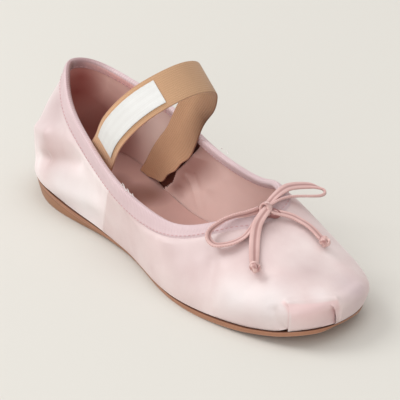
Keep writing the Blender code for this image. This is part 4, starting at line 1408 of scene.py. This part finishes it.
def strapShare(v):
    # part of the width and height over the middle, round the band's section
    angle = v * 2 * math.pi
    return 0.5 + 0.5 * flattened(np.cos(angle), 0.6), flattened(np.sin(angle), 0.25) * strap["thickness"] / 2


def swelling(u, form):
    at, reach, size = strap[form]
    return size * np.exp(-((u - at) / reach) ** 2)


def growing(u, form, power=1.0):
    start, reach, size = strap[form]
    return size * np.clip((u - start) / reach, 0, 1) ** power


def strapPlace(u, v):
    index = np.rint(u * strap["steps"]).astype(int)
    share, high = strapShare(v)
    part = share[:, None]
    out = unit(backOut[index] * (1 - part) + frontOut[index] * part)
    points = backEdge[index] * (1 - part) + frontEdge[index] * part
    wave = strap["unevenness"] * ruffles(index * 0.035, share * 0.9, 17.0) * np.sin(u * math.pi) ** 0.5
    # the inner leg stands forward in a soft bulge, and its front corner curls up off the lining
    curl = growing(u, "curl") * np.clip(share - strap["curlFrom"], 0, 1) ** 2
    frontMoves = (swelling(u, "bulge") + swelling(u, "arch")) * share ** 2
    ripple = growing(u, "ripple") * np.sin(u * strap["rippleTurns"]) * share ** 3
    backMoves = swelling(u, "pinch") + growing(u, "innerSpread") + swelling(u, "outerSpread")
    across = frontMoves + ripple + backMoves * (1 - share) ** 2
    points = points + strapAcross * across[:, None] + out * (high + wave - curl)[:, None]
    points[:, 2] += growing(u, "cornerLift", 1.5) * np.clip(share - strap["liftFrom"], 0, 1)
    return points


gridPiece("strap_band", strap["steps"], 64, strapPlace, wovenElastic, ("elastic_strap",),
          uvPlace=lambda u, v: np.stack([u * strap["clothLength"], strapShare(v)[0] * strap["width"]]),
          sharp=60.0)


def labelPlace(u, v):
    run = runAlong(strapPath)
    angle = v * 2 * math.pi
    share = flattened(np.cos(angle), 0.3)
    high = flattened(np.sin(angle), 0.5) * strap["labelThickness"] / 2
    ends = np.clip(np.minimum(u, 1 - u) / strap["labelThinned"], 0.05, 1.0)
    at = strap["labelStart"] + u * strap["labelLength"]
    middle = rowsAt(at, run, strapPath) + strapAcross * strap["width"] / 2
    face = unit(rowsAt(at, run, strapOutward))
    edge = strap["labelFray"] * ruffles(u * 30.0, share, 4.0)
    reach = (strap["labelWidth"] / 2 + edge) * share
    lift = strap["thickness"] / 2 + last["gap"] + strap["labelThickness"] / 2 + high * ends
    return middle + strapAcross * reach[:, None] + face * lift[:, None]


gridPiece("label_tape", 120, 40, labelPlace, labelWeave, ("strap_label",),
          uvPlace=lambda u, v: np.stack([u * strap["labelLength"], v * 30.0]), sharp=60.0)
print("strap and label woven")

# Floor

floorMesh = bpy.data.meshes.new("floor")
floorWork = bmesh.new()
bmesh.ops.create_grid(floorWork, x_segments=1, y_segments=1, size=6.0)
floorWork.to_mesh(floorMesh)
floorWork.free()
floorPaint = bpy.data.materials.new("floor")
floorPaint.use_nodes = True
floorShader = floorPaint.node_tree.nodes["Principled BSDF"]
floorShader.inputs["Base Color"].default_value = (*studio["floorColour"], 1.0)
floorShader.inputs["Roughness"].default_value = 0.9
floorMesh.materials.append(floorPaint)
floor = addObject("floor", floorMesh)
